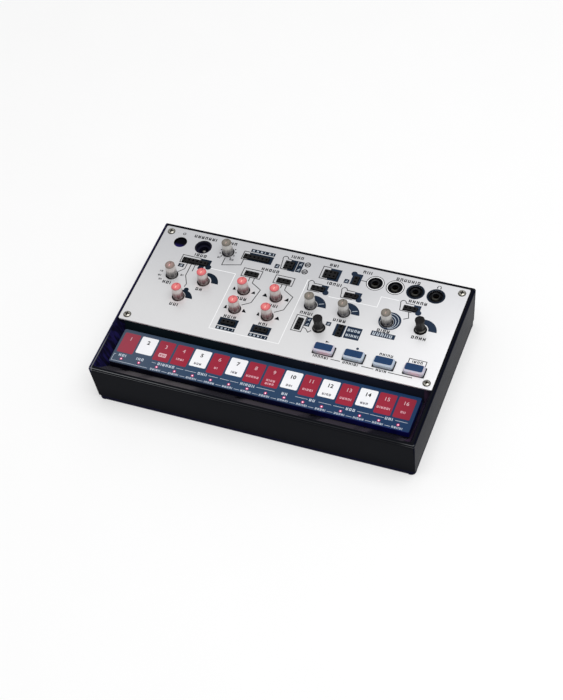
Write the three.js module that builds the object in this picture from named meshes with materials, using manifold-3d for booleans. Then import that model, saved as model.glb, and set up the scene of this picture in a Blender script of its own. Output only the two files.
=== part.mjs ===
// A tabletop patch synthesizer: a two-part smoked case, a silver deck with knobs, buttons,
// jacks and patch sockets, and a printed touch strip sunk in a well along the front.
// Millimetres, +X right, +Y back, +Z up. The origin is on the table under the middle of the case.

import * as THREE from "three";
import { mergeVertices } from "three/addons/utils/BufferGeometryUtils.js";
import Module from "manifold-3d";

const wasm = await Module();
wasm.setup();

// Case
const caseWidth = 193;
const caseDepth = 115;
const wallLean = 1.3;
const wallLeanHeight = 29.1;
const wallThickness = 2;
const cornerRadius = 0.8;
const trayCornerRadius = 2.5;
const innerCornerRadius = 1;
const edgeRound = 2;
const skirtHeight = 0.8;
const cornerLegHeight = 0.3;
const cornerLegLength = 5;
const seamHeight = 3.6;
const floorThickness = 2;
const lipThickness = 1.2;
const lipHeight = 3;

// Clearances
const fitGap = 0.3;
const slideGap = 0.35;
const overrun = 1;
const weldDistance = 0.0001;

// Feet
const footHeight = 1.2;
const footRadius = 5;
const footTipRadius = 4.4;
const footInset = 12;

// Deck panel and the ledge that carries it
const sideRim = 2.2;
const backRim = 2.5;
const panelThickness = 1;
const panelGap = 0.1;
const panelCornerRadius = 1;
const ledgeWidth = 2;
const ledgeThickness = 1.5;

// Keyboard well
const frontRim = 1.7;
const wellDepth = 10.1;
const wellFloorWidth = 24.9;
const wellSideRun = 4.3;
const wellBackRun = 2.1;
const wellFrontRun = 9.4;
const wellSkin = 1.8;
const ledgeFrontGap = 0.6;

// Touch strip and its board
const stripHeight = 4.3;
const stripTop = 1.4;
const stripWall = 1.2;
const stripSideGap = 0.6;
const stripCornerRadius = 0.8;
const boardThickness = 1.6;
const keyCount = 16;
const keyEndMargin = 1.16;
const lampLength = 2;
const lampWidth = 1.2;
const lampHeight = 0.8;
const lampFromFront = 2.6;

// Main board
const boardDrop = 9;
const boardSideGap = 2.6;
const boardFrontGap = 3.2;
const boardBackGap = 1.6;
const boardNotch = 3.4;

// Screws
const screwInset = 4.2;
const screwFromFront = 3.9;
const screwFromBack = 3.9;
const screwHeadRadius = 2.35;
const screwHeadHeight = 0.9;
const screwShankRadius = 1.4;
const screwShankLength = 11;
const screwCrossWidth = 0.6;
const screwCrossLength = 2.8;
const screwCrossDepth = 0.5;
const lugRadius = 3;
const bossRadius = 2.5;
const boardScrewHeadRadius = 2.2;
const boardScrewHeadHeight = 1.3;
const boardScrewShankRadius = 1.1;
const boardScrewShankLength = 7;
const postRadius = 2.6;

// Knobs and potentiometers
const knobHeight = 9;
const knobTopRadius = 2.85;
const knobBaseRadius = 3.15;
const knobEdge = 0.3;
const knobHoleGap = 0.6;
const knobStemRadius = 1.5;
const knobStemLength = 4;
const knobCollarDepth = 1.8;
const knobWaist = 2.4;
const knobSlotWidth = 0.6;
const knobSlotDepth = 0.4;
const potSize = 9.6;
const potHeight = 6.2;
const fluteDepth = 0.22;
const fluteCount = 18;

// Buttons
const buttonWidth = 11.8;
const buttonDepth = 6.5;
const buttonRise = 2.5;
const buttonEdge = 0.5;
const buttonCorner = 1.5;
const buttonHoleCorner = 0.5;
const buttonFlange = 0.8;
const buttonFlangeThickness = 1;
const buttonStemSize = 3.2;
const buttonTravel = 0.8;
const buttonHoleGap = 0.45;
const keySwitchSize = 6;
const keySwitchHeight = 4.3;

// Power button and its switch
const powerHoleRadius = 3.95;
const powerRecess = 1;
const powerHeadHeight = 1.6;
const powerStemRadius = 1.5;
const powerStemInSwitch = 2;
const powerTravel = 1.2;
const powerSwitchSize = 8;
const powerSwitchHeight = 5;

// Power inlet
const inletHoleRadius = 5.1;
const inletGap = 0.25;
const inletWall = 0.7;
const inletFaceDrop = 2.8;
const inletRimDrop = 0.3;
const inletSocketRadius = 2.9;
const inletPinRadius = 1;
const inletPinDrop = 0.8;
const inletFloor = 1.2;
const inletBodyWidth = 10.6;
const inletBodyDepth = 12;
const inletBodyHeight = 5.4;

// Audio jacks
const jackHoleRadius = 4.4;
const jackGap = 0.15;
const jackBore = 3.6;
const jackMouthRadius = 2.7;
const jackMouthDepth = 0.9;
const jackRimDrop = 0.15;
const jackFloor = 1;
const jackBodyWidth = 9.6;
const jackBodyDepth = 11.6;

// Patch sockets
const pinSpacing = 2.54;
const socketEndWall = 0.2;
const socketSideWall = 0.25;
const socketRise = 0.9;
const socketHole = 0.9;
const socketHoleDepth = 4;
const socketGap = 0.3;

// Battery bay for six cells in three rows of two
const cellLength = 50.5;
const cellDiameter = 14.5;
const cellRows = 3;
const cellsInRow = 2;
const cellGap = 0.5;
const contactSpace = 3;
const cellHeadroom = 0.4;
const bayWall = 1.2;
const bayRoofThickness = 1;
const bayFromWellBack = 7;
const bayLeftShare = 0.532;
const contactThickness = 0.5;
const contactHeight = 11;
const contactMargin = 2;
const contactTipLength = 1.9;
const contactTipRadius = 2;
const contactBaseRadius = 4;

// Battery cover
const coverThickness = 1.4;
const coverEdge = 1.4;
const tongueWidth = 10;
const tongueReach = 2;
const tongueThickness = 1;
const tongueLift = 2.3;
const tongueRoot = 1.6;
const tongueSpacing = 60;
const tongueSwing = 1.6;
const notchWidth = 16;
const notchDepth = 4.5;
const latchWidth = 12;
const latchReach = 2.4;
const ridgeCount = 5;
const ridgeSpacing = 2.4;
const ridgeWidth = 1;
const ridgeLength = 14;
const ridgeDepth = 0.4;
const ridgeInset = 4;

// Speaker
const speakerRadius = 18;
const speakerFlange = 1;
const speakerMagnetRadius = 9;
const speakerBasketHeight = 5.5;
const speakerHeight = 10;
const speakerConeDepth = 3.5;
const speakerConeRim = 2;
const speakerCap = 4;
const speakerRingWall = 1.4;
const speakerRingHeight = 3;
const speakerRightShare = 0.253;
const speakerBackShare = 0.434;
const grilleRadius = 14;
const grilleSlot = 1.8;
const grilleSpacing = 3.6;
const grilleCount = 7;

// Flat cable between the two boards
const cableWidth = 12;
const cableThickness = 0.5;
const cableShare = 0.725;
const cableDrop = 4;
const cableSlotWall = 0.6;
const cableFromWellBack = 3.5;
const cableFromBoardFront = 4;

// Round pieces are prisms with this many sides
const roundSides = 20;
const smallSides = 12;
const cornerSteps = 3;

// Levels and outlines that follow from the sizes above
const halfWidth = caseWidth / 2;
const halfDepth = caseDepth / 2;
const floorBottom = footHeight;
const floorTop = floorBottom + floorThickness;
const coverInside = floorBottom + coverThickness;
const bayCeiling = coverInside + cellDiameter + cellHeadroom;
const bayRoof = bayCeiling + bayRoofThickness;
const boardBottom = bayRoof + fitGap;
const boardTop = boardBottom + boardThickness;
const panelBottom = boardTop + boardDrop;
const deckHeight = panelBottom + panelThickness;
const wallTop = deckHeight - edgeRound;
const ledgeBottom = panelBottom - ledgeThickness;
const wellFront = wellFrontRun + frontRim - halfDepth;
const wellBack = wellFront + wellFloorWidth;
const panelSide = halfWidth - sideRim;
const panelFront = wellBack + wellBackRun;
const panelBack = halfDepth - backRim;
const panelWidth = 2 * panelSide;
const panelDepth = panelBack - panelFront;
const wellFloor = deckHeight - wellDepth;
const wellSide = panelSide - wellSideRun;
const shelfBottom = wellFloor - wellSkin;
const boardSide = panelSide - boardSideGap;
const boardFront = panelFront + boardFrontGap;
const boardBack = panelBack - boardBackGap;

// The floor between the case's walls is shared out to the left of the battery bay, between it and
// the speaker's ring, and to the right of the ring
const bayLength = cellsInRow * cellLength + 2 * contactSpace;
const bayWidth = cellRows * (cellDiameter + cellGap);
const ringRadius = speakerRadius + fitGap + speakerRingWall;
const floorSide = halfWidth - wallLean - wallThickness;
const spareWidth = 2 * (floorSide - bayWall - ringRadius) - bayLength;
const bayX0 = bayLeftShare * spareWidth + bayWall - floorSide;
const bayX1 = bayX0 + bayLength;
const bayMiddle = (bayX0 + bayX1) / 2;
const bayY0 = wellBack + bayFromWellBack;
const bayY1 = bayY0 + bayWidth;
const speakerX = floorSide - speakerRightShare * spareWidth - ringRadius;
const speakerY = boardFront + speakerBackShare * (boardBack - boardFront);
const cableX = cableShare * halfWidth;
const screwX = panelSide - screwInset;
const screwPlaces = [
  [-screwX, panelFront + screwFromFront],
  [screwX, panelFront + screwFromFront],
  [-screwX, panelBack - screwFromBack],
  [screwX, panelBack - screwFromBack],
];

// Places on the deck, as shares of the panel's width from its middle and of its depth from its front
const knobShares = {
  knob_pitch: [-0.27, 0.859, "sand"],
  knob_ratio: [-0.406, 0.522, "sand"],
  knob_mod: [-0.3, 0.522, "rose"],
  knob_fold: [-0.353, 0.329, "rose"],
  knob_attack: [-0.166, 0.522, "rose"],
  knob_release: [-0.166, 0.329, "rose"],
  knob_shape: [-0.06, 0.522, "rose"],
  knob_time: [-0.06, 0.329, "rose"],
  knob_cutoff_left: [0.052, 0.522, "sand"],
  knob_cutoff_right: [0.159, 0.522, "sand"],
  knob_tempo: [0.106, 0.329, "black"],
  knob_amount: [0.295, 0.522, "sand"],
  knob_volume: [0.4, 0.522, "black"],
};
const buttonShares = {
  button_play: [0.15, 0.136],
  button_record: [0.2435, 0.136],
  button_memory: [0.337, 0.136],
  button_function: [0.4305, 0.136],
};
const jackShares = {
  jack_cv_in: [0.2135, 0.865],
  jack_sync_in: [0.277, 0.865],
  jack_sync_out: [0.3415, 0.865],
  jack_headphones: [0.406, 0.865],
};
const socketShares = {
  socket_source: [-0.355, 0.694],
  socket_modulation: [-0.1745, 0.858],
  socket_middle: [-0.066, 0.859],
  socket_split: [0.0695, 0.855],
  socket_cv: [0.1525, 0.85],
  socket_attack: [-0.166, 0.694],
  socket_shape: [-0.06, 0.694],
  socket_release: [-0.166, 0.187],
  socket_time: [-0.06, 0.187],
  socket_gate_left: [0.052, 0.694],
  socket_gate_right: [0.159, 0.694],
  socket_sequencer: [0.0425, 0.327],
  socket_random: [0.17, 0.345],
  socket_space: [0.347, 0.694],
};
// Pins across and pins from front to back
const socketPinCounts = {
  socket_source: [6, 1],
  socket_modulation: [6, 1],
  socket_middle: [2, 2],
  socket_split: [3, 2],
  socket_cv: [1, 2],
  socket_attack: [3, 1],
  socket_shape: [3, 1],
  socket_release: [3, 1],
  socket_time: [3, 1],
  socket_gate_left: [3, 1],
  socket_gate_right: [3, 1],
  socket_sequencer: [1, 3],
  socket_random: [1, 3],
  socket_space: [3, 1],
};
const powerShares = [-0.4325, 0.859];
const inletShares = [-0.354, 0.857];
// Shares of the main board's half width from its middle and of its depth from its front
const postShares = [
  [-0.895, 0.117],
  [-0.895, 0.728],
  [0.9155, 0.117],
];
const boardScrewShares = {
  board_screw_back: [-0.218, 0.894],
  board_screw_right: [0.9155, 0.6925],
};

function onPanel([xShare, yShare]) {
  return [xShare * panelWidth, panelFront + yShare * panelDepth];
}

function onBoard([xShare, yShare]) {
  return [xShare * boardSide, boardFront + yShare * (boardBack - boardFront)];
}

const boardScrewPlaces = Object.values(boardScrewShares).map(onBoard);

// Materials
function finish(color, roughness, metalness = 0, opacity = 1) {
  return new THREE.MeshStandardMaterial({
    color,
    roughness,
    metalness,
    opacity,
    transparent: opacity < 1,
  });
}

const finishes = {
  smoke: finish(0x14151c, 0.15),
  base: finish(0x0d1030, 0.3),
  silver: finish(0xd4d5d8, 0.32, 0.6),
  strip: finish(0x24466b, 0.3),
  chrome: finish(0xc8c8cc, 0.2, 1),
  sand: finish(0xb5aa9c, 0.3, 0, 0.85),
  rose: finish(0xe88f8f, 0.3, 0, 0.85),
  black: finish(0x1b1b1c, 0.45),
  milk: finish(0xc9c2cc, 0.35, 0, 0.9),
  socket: finish(0x151412, 0.5),
  board: finish(0x1d4a35, 0.5),
  rubber: finish(0x1a1a1a, 0.9),
  contact: finish(0xd0cfc8, 0.3, 1),
  speaker: finish(0x3a3b3e, 0.6, 0.4),
  cable: finish(0xe6e6e2, 0.6),
};

// A closed geometry as a solid that can be cut and joined
function solid(geometry) {
  const loose = geometry.index ? geometry.toNonIndexed() : geometry;
  const bare = new THREE.BufferGeometry();
  bare.setAttribute("position", loose.getAttribute("position"));
  const merged = mergeVertices(bare, weldDistance);
  const corners = merged.index.array;
  const kept = [];
  for (let i = 0; i < corners.length; i += 3) {
    const [a, b, c] = [corners[i], corners[i + 1], corners[i + 2]];
    if (a !== b && b !== c && c !== a) kept.push(a, b, c);
  }
  return new wasm.Manifold(
    new wasm.Mesh({
      numProp: 3,
      vertProperties: merged.attributes.position.array,
      triVerts: new Uint32Array(kept),
    }),
  );
}

function joined(first, ...others) {
  return others.reduce((sum, other) => sum.add(other), first);
}

function cut(first, ...others) {
  return others.reduce((rest, other) => rest.subtract(other), first);
}

function box(x0, x1, y0, y1, z0, z1) {
  const geometry = new THREE.BoxGeometry(x1 - x0, y1 - y0, z1 - z0);
  geometry.translate((x0 + x1) / 2, (y0 + y1) / 2, (z0 + z1) / 2);
  return solid(geometry);
}

function boxAt(x, y, width, depth, z0, z1) {
  return box(x - width / 2, x + width / 2, y - depth / 2, y + depth / 2, z0, z1);
}

// A solid of revolution about a vertical line, from radius and height pairs running upwards outside
function turned(profile, sides = roundSides, x = 0, y = 0) {
  const points = profile.map(([r, z]) => new THREE.Vector2(r, z));
  const geometry = new THREE.LatheGeometry(points, sides);
  geometry.rotateX(Math.PI / 2);
  geometry.translate(x, y, 0);
  return solid(geometry);
}

function rod(x, y, radius, z0, z1, sides = roundSides) {
  const profile = [
    [0, z0],
    [radius, z0],
    [radius, z1],
    [0, z1],
  ];
  return turned(profile, sides, x, y);
}

// The corner points of a rounded rectangle, anticlockwise from above
function roundedRectangle(x0, x1, y0, y1, radius) {
  const centres = [
    [x1 - radius, y1 - radius, 0],
    [x0 + radius, y1 - radius, 1],
    [x0 + radius, y0 + radius, 2],
    [x1 - radius, y0 + radius, 3],
  ];
  return centres.flatMap(([cx, cy, quarter]) =>
    Array.from({ length: cornerSteps + 1 }, (_, step) => {
      const angle = ((quarter + step / cornerSteps) * Math.PI) / 2;
      return new THREE.Vector2(cx + radius * Math.cos(angle), cy + radius * Math.sin(angle));
    }),
  );
}

// Convex outlines with equal point counts, stacked from the lowest up
function loft(layers) {
  const count = layers[0].outline.length;
  const at = (layer, k) => {
    const point = layers[layer].outline[k % count];
    return [point.x, point.y, layers[layer].z];
  };
  const corners = [];
  for (let layer = 0; layer + 1 < layers.length; layer += 1) {
    for (let k = 0; k < count; k += 1) {
      corners.push(at(layer, k), at(layer, k + 1), at(layer + 1, k + 1));
      corners.push(at(layer, k), at(layer + 1, k + 1), at(layer + 1, k));
    }
  }
  const last = layers.length - 1;
  for (let k = 1; k + 1 < count; k += 1) {
    corners.push(at(0, 0), at(0, k + 1), at(0, k));
    corners.push(at(last, 0), at(last, k), at(last, k + 1));
  }
  const geometry = new THREE.BufferGeometry();
  geometry.setAttribute("position", new THREE.Float32BufferAttribute(corners.flat(), 3));
  return solid(geometry);
}

function upright(outline, z0, z1) {
  return loft([
    { z: z0, outline },
    { z: z1, outline },
  ]);
}

// An outline given in the y-z plane, drawn out along x
function drawnAlongX(points, x0, x1) {
  const shape = new THREE.Shape(points.map(([y, z]) => new THREE.Vector2(y, z)));
  const geometry = new THREE.ExtrudeGeometry(shape, { depth: x1 - x0, bevelEnabled: false });
  geometry.rotateX(Math.PI / 2);
  geometry.rotateZ(Math.PI / 2);
  geometry.translate(x0, 0, 0);
  return solid(geometry);
}

function part(name, shape, material, x = 0, y = 0, z = 0) {
  const mesh = shape.getMesh();
  const geometry = new THREE.BufferGeometry();
  geometry.setAttribute("position", new THREE.BufferAttribute(mesh.vertProperties, 3));
  geometry.setIndex(new THREE.BufferAttribute(mesh.triVerts, 1));
  geometry.computeVertexNormals();
  const made = new THREE.Mesh(geometry, material);
  made.name = name;
  made.position.set(x, y, z);
  return made;
}

// The case's outline at a height, drawn in by an inset: its walls lean out as they rise
function caseOutline(z, inset, radius) {
  const lean = (wallLean * (wallLeanHeight - z)) / wallLeanHeight + inset;
  const [x, y] = [halfWidth - lean, halfDepth - lean];
  return { z, outline: roundedRectangle(-x, x, -y, y, radius) };
}

function caseBlock(z0, z1, inset, radius = innerCornerRadius) {
  return loft([caseOutline(z0, inset, radius), caseOutline(z1, inset, radius)]);
}

function roundedCaseBlock(z0) {
  const layers = [caseOutline(z0, 0, cornerRadius)];
  for (let step = 0; step <= cornerSteps; step += 1) {
    const angle = ((step / cornerSteps) * Math.PI) / 2;
    const z = wallTop + edgeRound * Math.sin(angle);
    layers.push(caseOutline(z, edgeRound * (1 - Math.cos(angle)), cornerRadius));
  }
  return loft(layers);
}

// The keyboard well: four slopes down to a flat floor
function wellBlock() {
  const layer = (z) => {
    const share = (z - wellFloor) / wellDepth;
    const x = wellSide + wellSideRun * share;
    const front = wellFront - wellFrontRun * share;
    const back = wellBack + wellBackRun * share;
    return {
      z,
      outline: [
        new THREE.Vector2(x, back),
        new THREE.Vector2(-x, back),
        new THREE.Vector2(-x, front),
        new THREE.Vector2(x, front),
      ],
    };
  };
  return loft([layer(wellFloor), layer(deckHeight + overrun)]);
}

// The hollow under the deck and the well, seen from the side
function hollowProfile() {
  const slope = Math.hypot(wellFrontRun, wellDepth);
  const skinY = (wellSkin * wellDepth) / slope;
  const skinZ = (wellSkin * wellFrontRun) / slope;
  const lineZ = (y) => wellFloor - skinZ - ((y - wellFront + skinY) * wellDepth) / wellFrontRun;
  const lineY = (z) => wellFront - skinY - ((z - wellFloor + skinZ) * wellFrontRun) / wellDepth;
  const underSlope = (ledgeBottom - wellFloor) / wellDepth;
  return [
    [-halfDepth, seamHeight - overrun],
    [halfDepth, seamHeight - overrun],
    [halfDepth, ledgeBottom],
    [wellBack + wellBackRun * underSlope + wellSkin, ledgeBottom],
    [wellBack + wellSkin, shelfBottom],
    [lineY(shelfBottom), shelfBottom],
    [-halfDepth, lineZ(-halfDepth)],
  ];
}

function topCase() {
  const hollow = caseBlock(seamHeight - overrun, deckHeight, wallThickness).intersect(
    drawnAlongX(hollowProfile(), -halfWidth, halfWidth),
  );
  const recess = box(
    -panelSide,
    panelSide,
    panelFront - ledgeFrontGap,
    panelBack,
    panelBottom,
    deckHeight + overrun,
  );
  const opening = box(
    ledgeWidth - panelSide,
    panelSide - ledgeWidth,
    panelFront + ledgeWidth,
    panelBack - ledgeWidth,
    ledgeBottom - overrun,
    deckHeight,
  );
  const cableSlot = boxAt(
    cableX,
    wellBack - cableFromWellBack,
    cableWidth + 2 * cableSlotWall,
    cableThickness + 2 * cableSlotWall,
    shelfBottom - overrun,
    wellFloor + overrun,
  );
  const shell = cut(
    roundedCaseBlock(seamHeight),
    hollow,
    recess,
    opening,
    wellBlock(),
    cableSlot,
  );
  const lugs = screwPlaces.map(([x, y]) => rod(x, y, lugRadius, ledgeBottom, panelBottom));
  const holes = screwPlaces.map(([x, y]) =>
    rod(x, y, screwShankRadius + fitGap, ledgeBottom - overrun, deckHeight, smallSides),
  );
  return part("top_case", cut(joined(shell, ...lugs), ...holes), finishes.smoke);
}

const coverX0 = bayX0 - coverEdge;
const coverX1 = bayX1 + coverEdge;
const coverY0 = bayY0 - coverEdge;
const coverY1 = bayY1 + coverEdge;
const tonguePlaces = [bayMiddle - tongueSpacing / 2, bayMiddle + tongueSpacing / 2];

function batteryBay() {
  return box(
    bayX0 - bayWall,
    bayX1 + bayWall,
    bayY0 - bayWall,
    bayY1 + bayWall,
    floorTop - floorThickness / 2,
    bayRoof,
  );
}

function baySpaces() {
  const recess = box(
    coverX0 - fitGap,
    coverX1 + fitGap,
    coverY0 - fitGap,
    coverY1 + fitGap,
    floorBottom - overrun,
    coverInside,
  );
  const inside = box(bayX0, bayX1, bayY0, bayY1, floorBottom, bayCeiling);
  const windows = tonguePlaces.map((x) =>
    box(
      x - tongueWidth / 2 - fitGap,
      x + tongueWidth / 2 + fitGap,
      coverY0 - fitGap,
      bayY0 + overrun,
      floorBottom,
      floorBottom + tongueLift + tongueThickness + tongueSwing,
    ),
  );
  const notch = boxAt(
    bayMiddle,
    coverY1 + notchDepth / 2 - overrun,
    notchWidth,
    notchDepth + 2 * overrun,
    floorBottom - overrun,
    coverInside,
  );
  return [recess, inside, notch, ...windows];
}

function grilleSlots() {
  const slots = [];
  for (let k = 0; k < grilleCount; k += 1) {
    const y = (k - (grilleCount - 1) / 2) * grilleSpacing;
    const reach = Math.sqrt(grilleRadius * grilleRadius - y * y);
    slots.push(
      boxAt(
        speakerX,
        speakerY + y,
        2 * reach,
        grilleSlot,
        floorBottom - overrun,
        floorTop + overrun,
      ),
    );
  }
  return slots;
}

function bottomCase() {
  const legSpanX = halfWidth - cornerLegLength;
  const legSpanY = halfDepth - cornerLegLength;
  const band = cut(
    caseBlock(cornerLegHeight, seamHeight, 0, trayCornerRadius),
    caseBlock(0, floorBottom, wallThickness),
    caseBlock(floorTop, seamHeight + overrun, wallThickness),
    box(-legSpanX, legSpanX, -caseDepth, caseDepth, 0, skirtHeight),
    box(-caseWidth, caseWidth, -legSpanY, legSpanY, 0, skirtHeight),
  );
  const lipInset = wallThickness + fitGap;
  const lip = cut(
    caseBlock(floorTop - floorThickness / 2, floorTop + lipHeight, lipInset),
    caseBlock(floorTop, floorTop + lipHeight + overrun, lipInset + lipThickness),
  );
  const ringTop = floorTop + speakerRingHeight;
  const ring = cut(
    rod(speakerX, speakerY, ringRadius, floorBottom, ringTop),
    rod(speakerX, speakerY, ringRadius - speakerRingWall, floorTop, ringTop + overrun),
  );
  const bosses = screwPlaces.map((place) =>
    rod(...place, bossRadius, floorBottom, ledgeBottom, smallSides),
  );
  const posts = [...postShares.map(onBoard), ...boardScrewPlaces].map((place) =>
    rod(...place, postRadius, floorBottom, boardBottom, smallSides),
  );
  const bossBores = screwPlaces.map(([x, y]) =>
    rod(
      x,
      y,
      screwShankRadius + fitGap,
      deckHeight - screwShankLength - fitGap,
      ledgeBottom + overrun,
      smallSides,
    ),
  );
  const postBores = boardScrewPlaces.map((place) =>
    rod(
      ...place,
      boardScrewShankRadius + fitGap,
      boardTop - boardScrewShankLength - fitGap,
      boardBottom + overrun,
      smallSides,
    ),
  );
  const whole = joined(band, lip, ring, batteryBay(), ...bosses, ...posts);
  return part(
    "bottom_case",
    cut(whole, ...baySpaces(), ...grilleSlots(), ...bossBores, ...postBores),
    finishes.base,
  );
}

// The cover lies in the floor's recess, with two tongues behind its front edge and a latch at the back
function batteryCover() {
  const plate = box(coverX0, coverX1, coverY0, coverY1, 0, coverThickness);
  const latch = box(
    bayMiddle - latchWidth / 2,
    bayMiddle + latchWidth / 2,
    coverY1 - overrun,
    coverY1 + latchReach,
    0,
    coverThickness,
  );
  const tongues = tonguePlaces.flatMap((x) => [
    box(
      x - tongueWidth / 2,
      x + tongueWidth / 2,
      coverY0,
      coverY0 + tongueRoot,
      0,
      tongueLift + tongueThickness,
    ),
    box(
      x - tongueWidth / 2,
      x + tongueWidth / 2,
      coverY0 - tongueReach,
      coverY0 + tongueRoot,
      tongueLift,
      tongueLift + tongueThickness,
    ),
  ]);
  const ridges = Array.from({ length: ridgeCount }, (_, k) =>
    boxAt(
      bayMiddle,
      coverY1 - ridgeInset - k * ridgeSpacing,
      ridgeLength,
      ridgeWidth,
      -overrun,
      ridgeDepth,
    ),
  );
  return part(
    "battery_cover",
    cut(joined(plate, latch, ...tongues), ...ridges),
    finishes.base,
    0,
    0,
    floorBottom,
  );
}

function batteryContacts(name, x, direction) {
  const side = bayWidth / 2 - contactMargin;
  const plate = box(
    Math.min(0, direction * contactThickness),
    Math.max(0, direction * contactThickness),
    -side,
    side,
    -contactHeight / 2,
    contactHeight / 2,
  );
  const tips = Array.from({ length: cellRows }, (_, row) => {
    const tip = new THREE.LatheGeometry(
      [
        [0, 0],
        [contactBaseRadius, 0],
        [contactTipRadius, contactTipLength],
        [0, contactTipLength],
      ].map(([r, z]) => new THREE.Vector2(r, z)),
      smallSides,
    );
    tip.rotateZ((-direction * Math.PI) / 2);
    tip.translate(0, (row - (cellRows - 1) / 2) * (cellDiameter + cellGap), 0);
    return solid(tip);
  });
  const z = coverInside + cellDiameter / 2;
  return part(name, joined(plate, ...tips), finishes.contact, x, (bayY0 + bayY1) / 2, z);
}

function feet() {
  const profile = [
    [0, 0],
    [footTipRadius, 0],
    [footRadius, footHeight - fitGap],
    [footRadius, footHeight],
    [0, footHeight],
  ];
  const [x, y] = [halfWidth - footInset, halfDepth - footInset];
  return [
    part("foot_front_left", turned(profile), finishes.rubber, -x, -y),
    part("foot_front_right", turned(profile), finishes.rubber, x, -y),
    part("foot_back_left", turned(profile), finishes.rubber, -x, y),
    part("foot_back_right", turned(profile), finishes.rubber, x, y),
  ];
}

function speaker() {
  const profile = [
    [0, speakerConeDepth],
    [speakerCap, speakerConeDepth],
    [speakerRadius - speakerConeRim, 0],
    [speakerRadius, 0],
    [speakerRadius, speakerFlange],
    [speakerMagnetRadius, speakerBasketHeight],
    [speakerMagnetRadius, speakerHeight],
    [0, speakerHeight],
  ];
  return part("speaker", turned(profile), finishes.speaker, speakerX, speakerY, floorTop);
}

// The deck panel is one plate with a hole for each thing that comes up through it
function topPanel() {
  const plate = upright(
    roundedRectangle(
      panelGap - panelSide,
      panelSide - panelGap,
      panelFront,
      panelBack - panelGap,
      panelCornerRadius,
    ),
    0,
    panelThickness,
  );
  const [z0, z1] = [-overrun, panelThickness + overrun];
  const round = (place, radius, sides = roundSides) => rod(...place, radius, z0, z1, sides);
  const knobHoles = Object.values(knobShares).map((place) =>
    round(onPanel(place), knobBaseRadius + knobHoleGap),
  );
  const jackHoles = Object.values(jackShares).map((place) => round(onPanel(place), jackHoleRadius));
  const screwHoles = screwPlaces.map((place) =>
    round(place, screwShankRadius + fitGap, smallSides),
  );
  const buttonHoles = Object.values(buttonShares).map((place) => {
    const [x, y] = onPanel(place);
    const [reachX, reachY] = [buttonWidth / 2 + buttonHoleGap, buttonDepth / 2 + buttonHoleGap];
    return upright(
      roundedRectangle(x - reachX, x + reachX, y - reachY, y + reachY, buttonHoleCorner),
      z0,
      z1,
    );
  });
  const socketHoles = Object.entries(socketShares).map(([name, place]) => {
    const [width, depth] = socketSize(socketPinCounts[name]);
    return boxAt(...onPanel(place), width + 2 * socketGap, depth + 2 * socketGap, z0, z1);
  });
  const panel = cut(
    plate,
    ...knobHoles,
    ...jackHoles,
    ...screwHoles,
    ...buttonHoles,
    ...socketHoles,
    round(onPanel(powerShares), powerHoleRadius),
    round(onPanel(inletShares), inletHoleRadius),
  );
  return part("top_panel", panel, finishes.silver, 0, 0, panelBottom);
}

function panelScrews() {
  const [z0, z1] = [screwHeadHeight - screwCrossDepth, screwHeadHeight + overrun];
  const slots = [
    boxAt(0, 0, screwCrossLength, screwCrossWidth, z0, z1),
    boxAt(0, 0, screwCrossWidth, screwCrossLength, z0, z1),
  ];
  const dome = (share) => [
    screwHeadRadius * Math.cos((share * Math.PI) / 2),
    screwHeadHeight * Math.sin((share * Math.PI) / 2),
  ];
  const profile = [
    [0, -screwShankLength],
    [screwShankRadius, -screwShankLength],
    [screwShankRadius, 0],
    dome(0),
    dome(1 / 3),
    dome(2 / 3),
    [0, screwHeadHeight],
  ];
  const screw = cut(turned(profile, smallSides), ...slots);
  const names = ["front_left", "front_right", "back_left", "back_right"];
  return screwPlaces.map(([x, y], k) =>
    part("panel_screw_" + names[k], screw, finishes.chrome, x, y, deckHeight),
  );
}

function boardScrews() {
  const profile = [
    [0, -boardScrewShankLength],
    [boardScrewShankRadius, -boardScrewShankLength],
    [boardScrewShankRadius, 0],
    [boardScrewHeadRadius, 0],
    [boardScrewHeadRadius, boardScrewHeadHeight],
    [0, boardScrewHeadHeight],
  ];
  const screw = turned(profile, smallSides);
  return Object.keys(boardScrewShares).map((name, k) =>
    part(name, screw, finishes.chrome, ...boardScrewPlaces[k], boardTop),
  );
}

// The printed cover of the keyboard stands on the well's floor like an upturned tray
const stripX = wellSide - stripSideGap;
const stripY0 = wellFront + fitGap;
const stripY1 = wellBack - fitGap;
const keySpacing = (2 * (stripX - keyEndMargin)) / keyCount;

function touchStrip() {
  const outline = roundedRectangle(-stripX, stripX, stripY0, stripY1, stripCornerRadius);
  const tray = upright(outline, 0, stripHeight);
  const inside = box(
    stripWall - stripX,
    stripX - stripWall,
    stripY0 + stripWall,
    stripY1 - stripWall,
    -overrun,
    stripHeight - stripTop,
  );
  return part("touch_strip", cut(tray, inside), finishes.strip, 0, 0, wellFloor);
}

function keyboardBoard() {
  const reach = stripWall + fitGap;
  const plate = box(
    reach - stripX,
    stripX - reach,
    stripY0 + reach,
    stripY1 - reach,
    0,
    boardThickness,
  );
  const lamps = Array.from({ length: keyCount }, (_, k) =>
    boxAt(
      (k - (keyCount - 1) / 2) * keySpacing,
      stripY0 + lampFromFront,
      lampLength,
      lampWidth,
      boardThickness / 2,
      boardThickness + lampHeight,
    ),
  );
  return part("keyboard_board", joined(plate, ...lamps), finishes.board, 0, 0, wellFloor);
}

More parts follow.
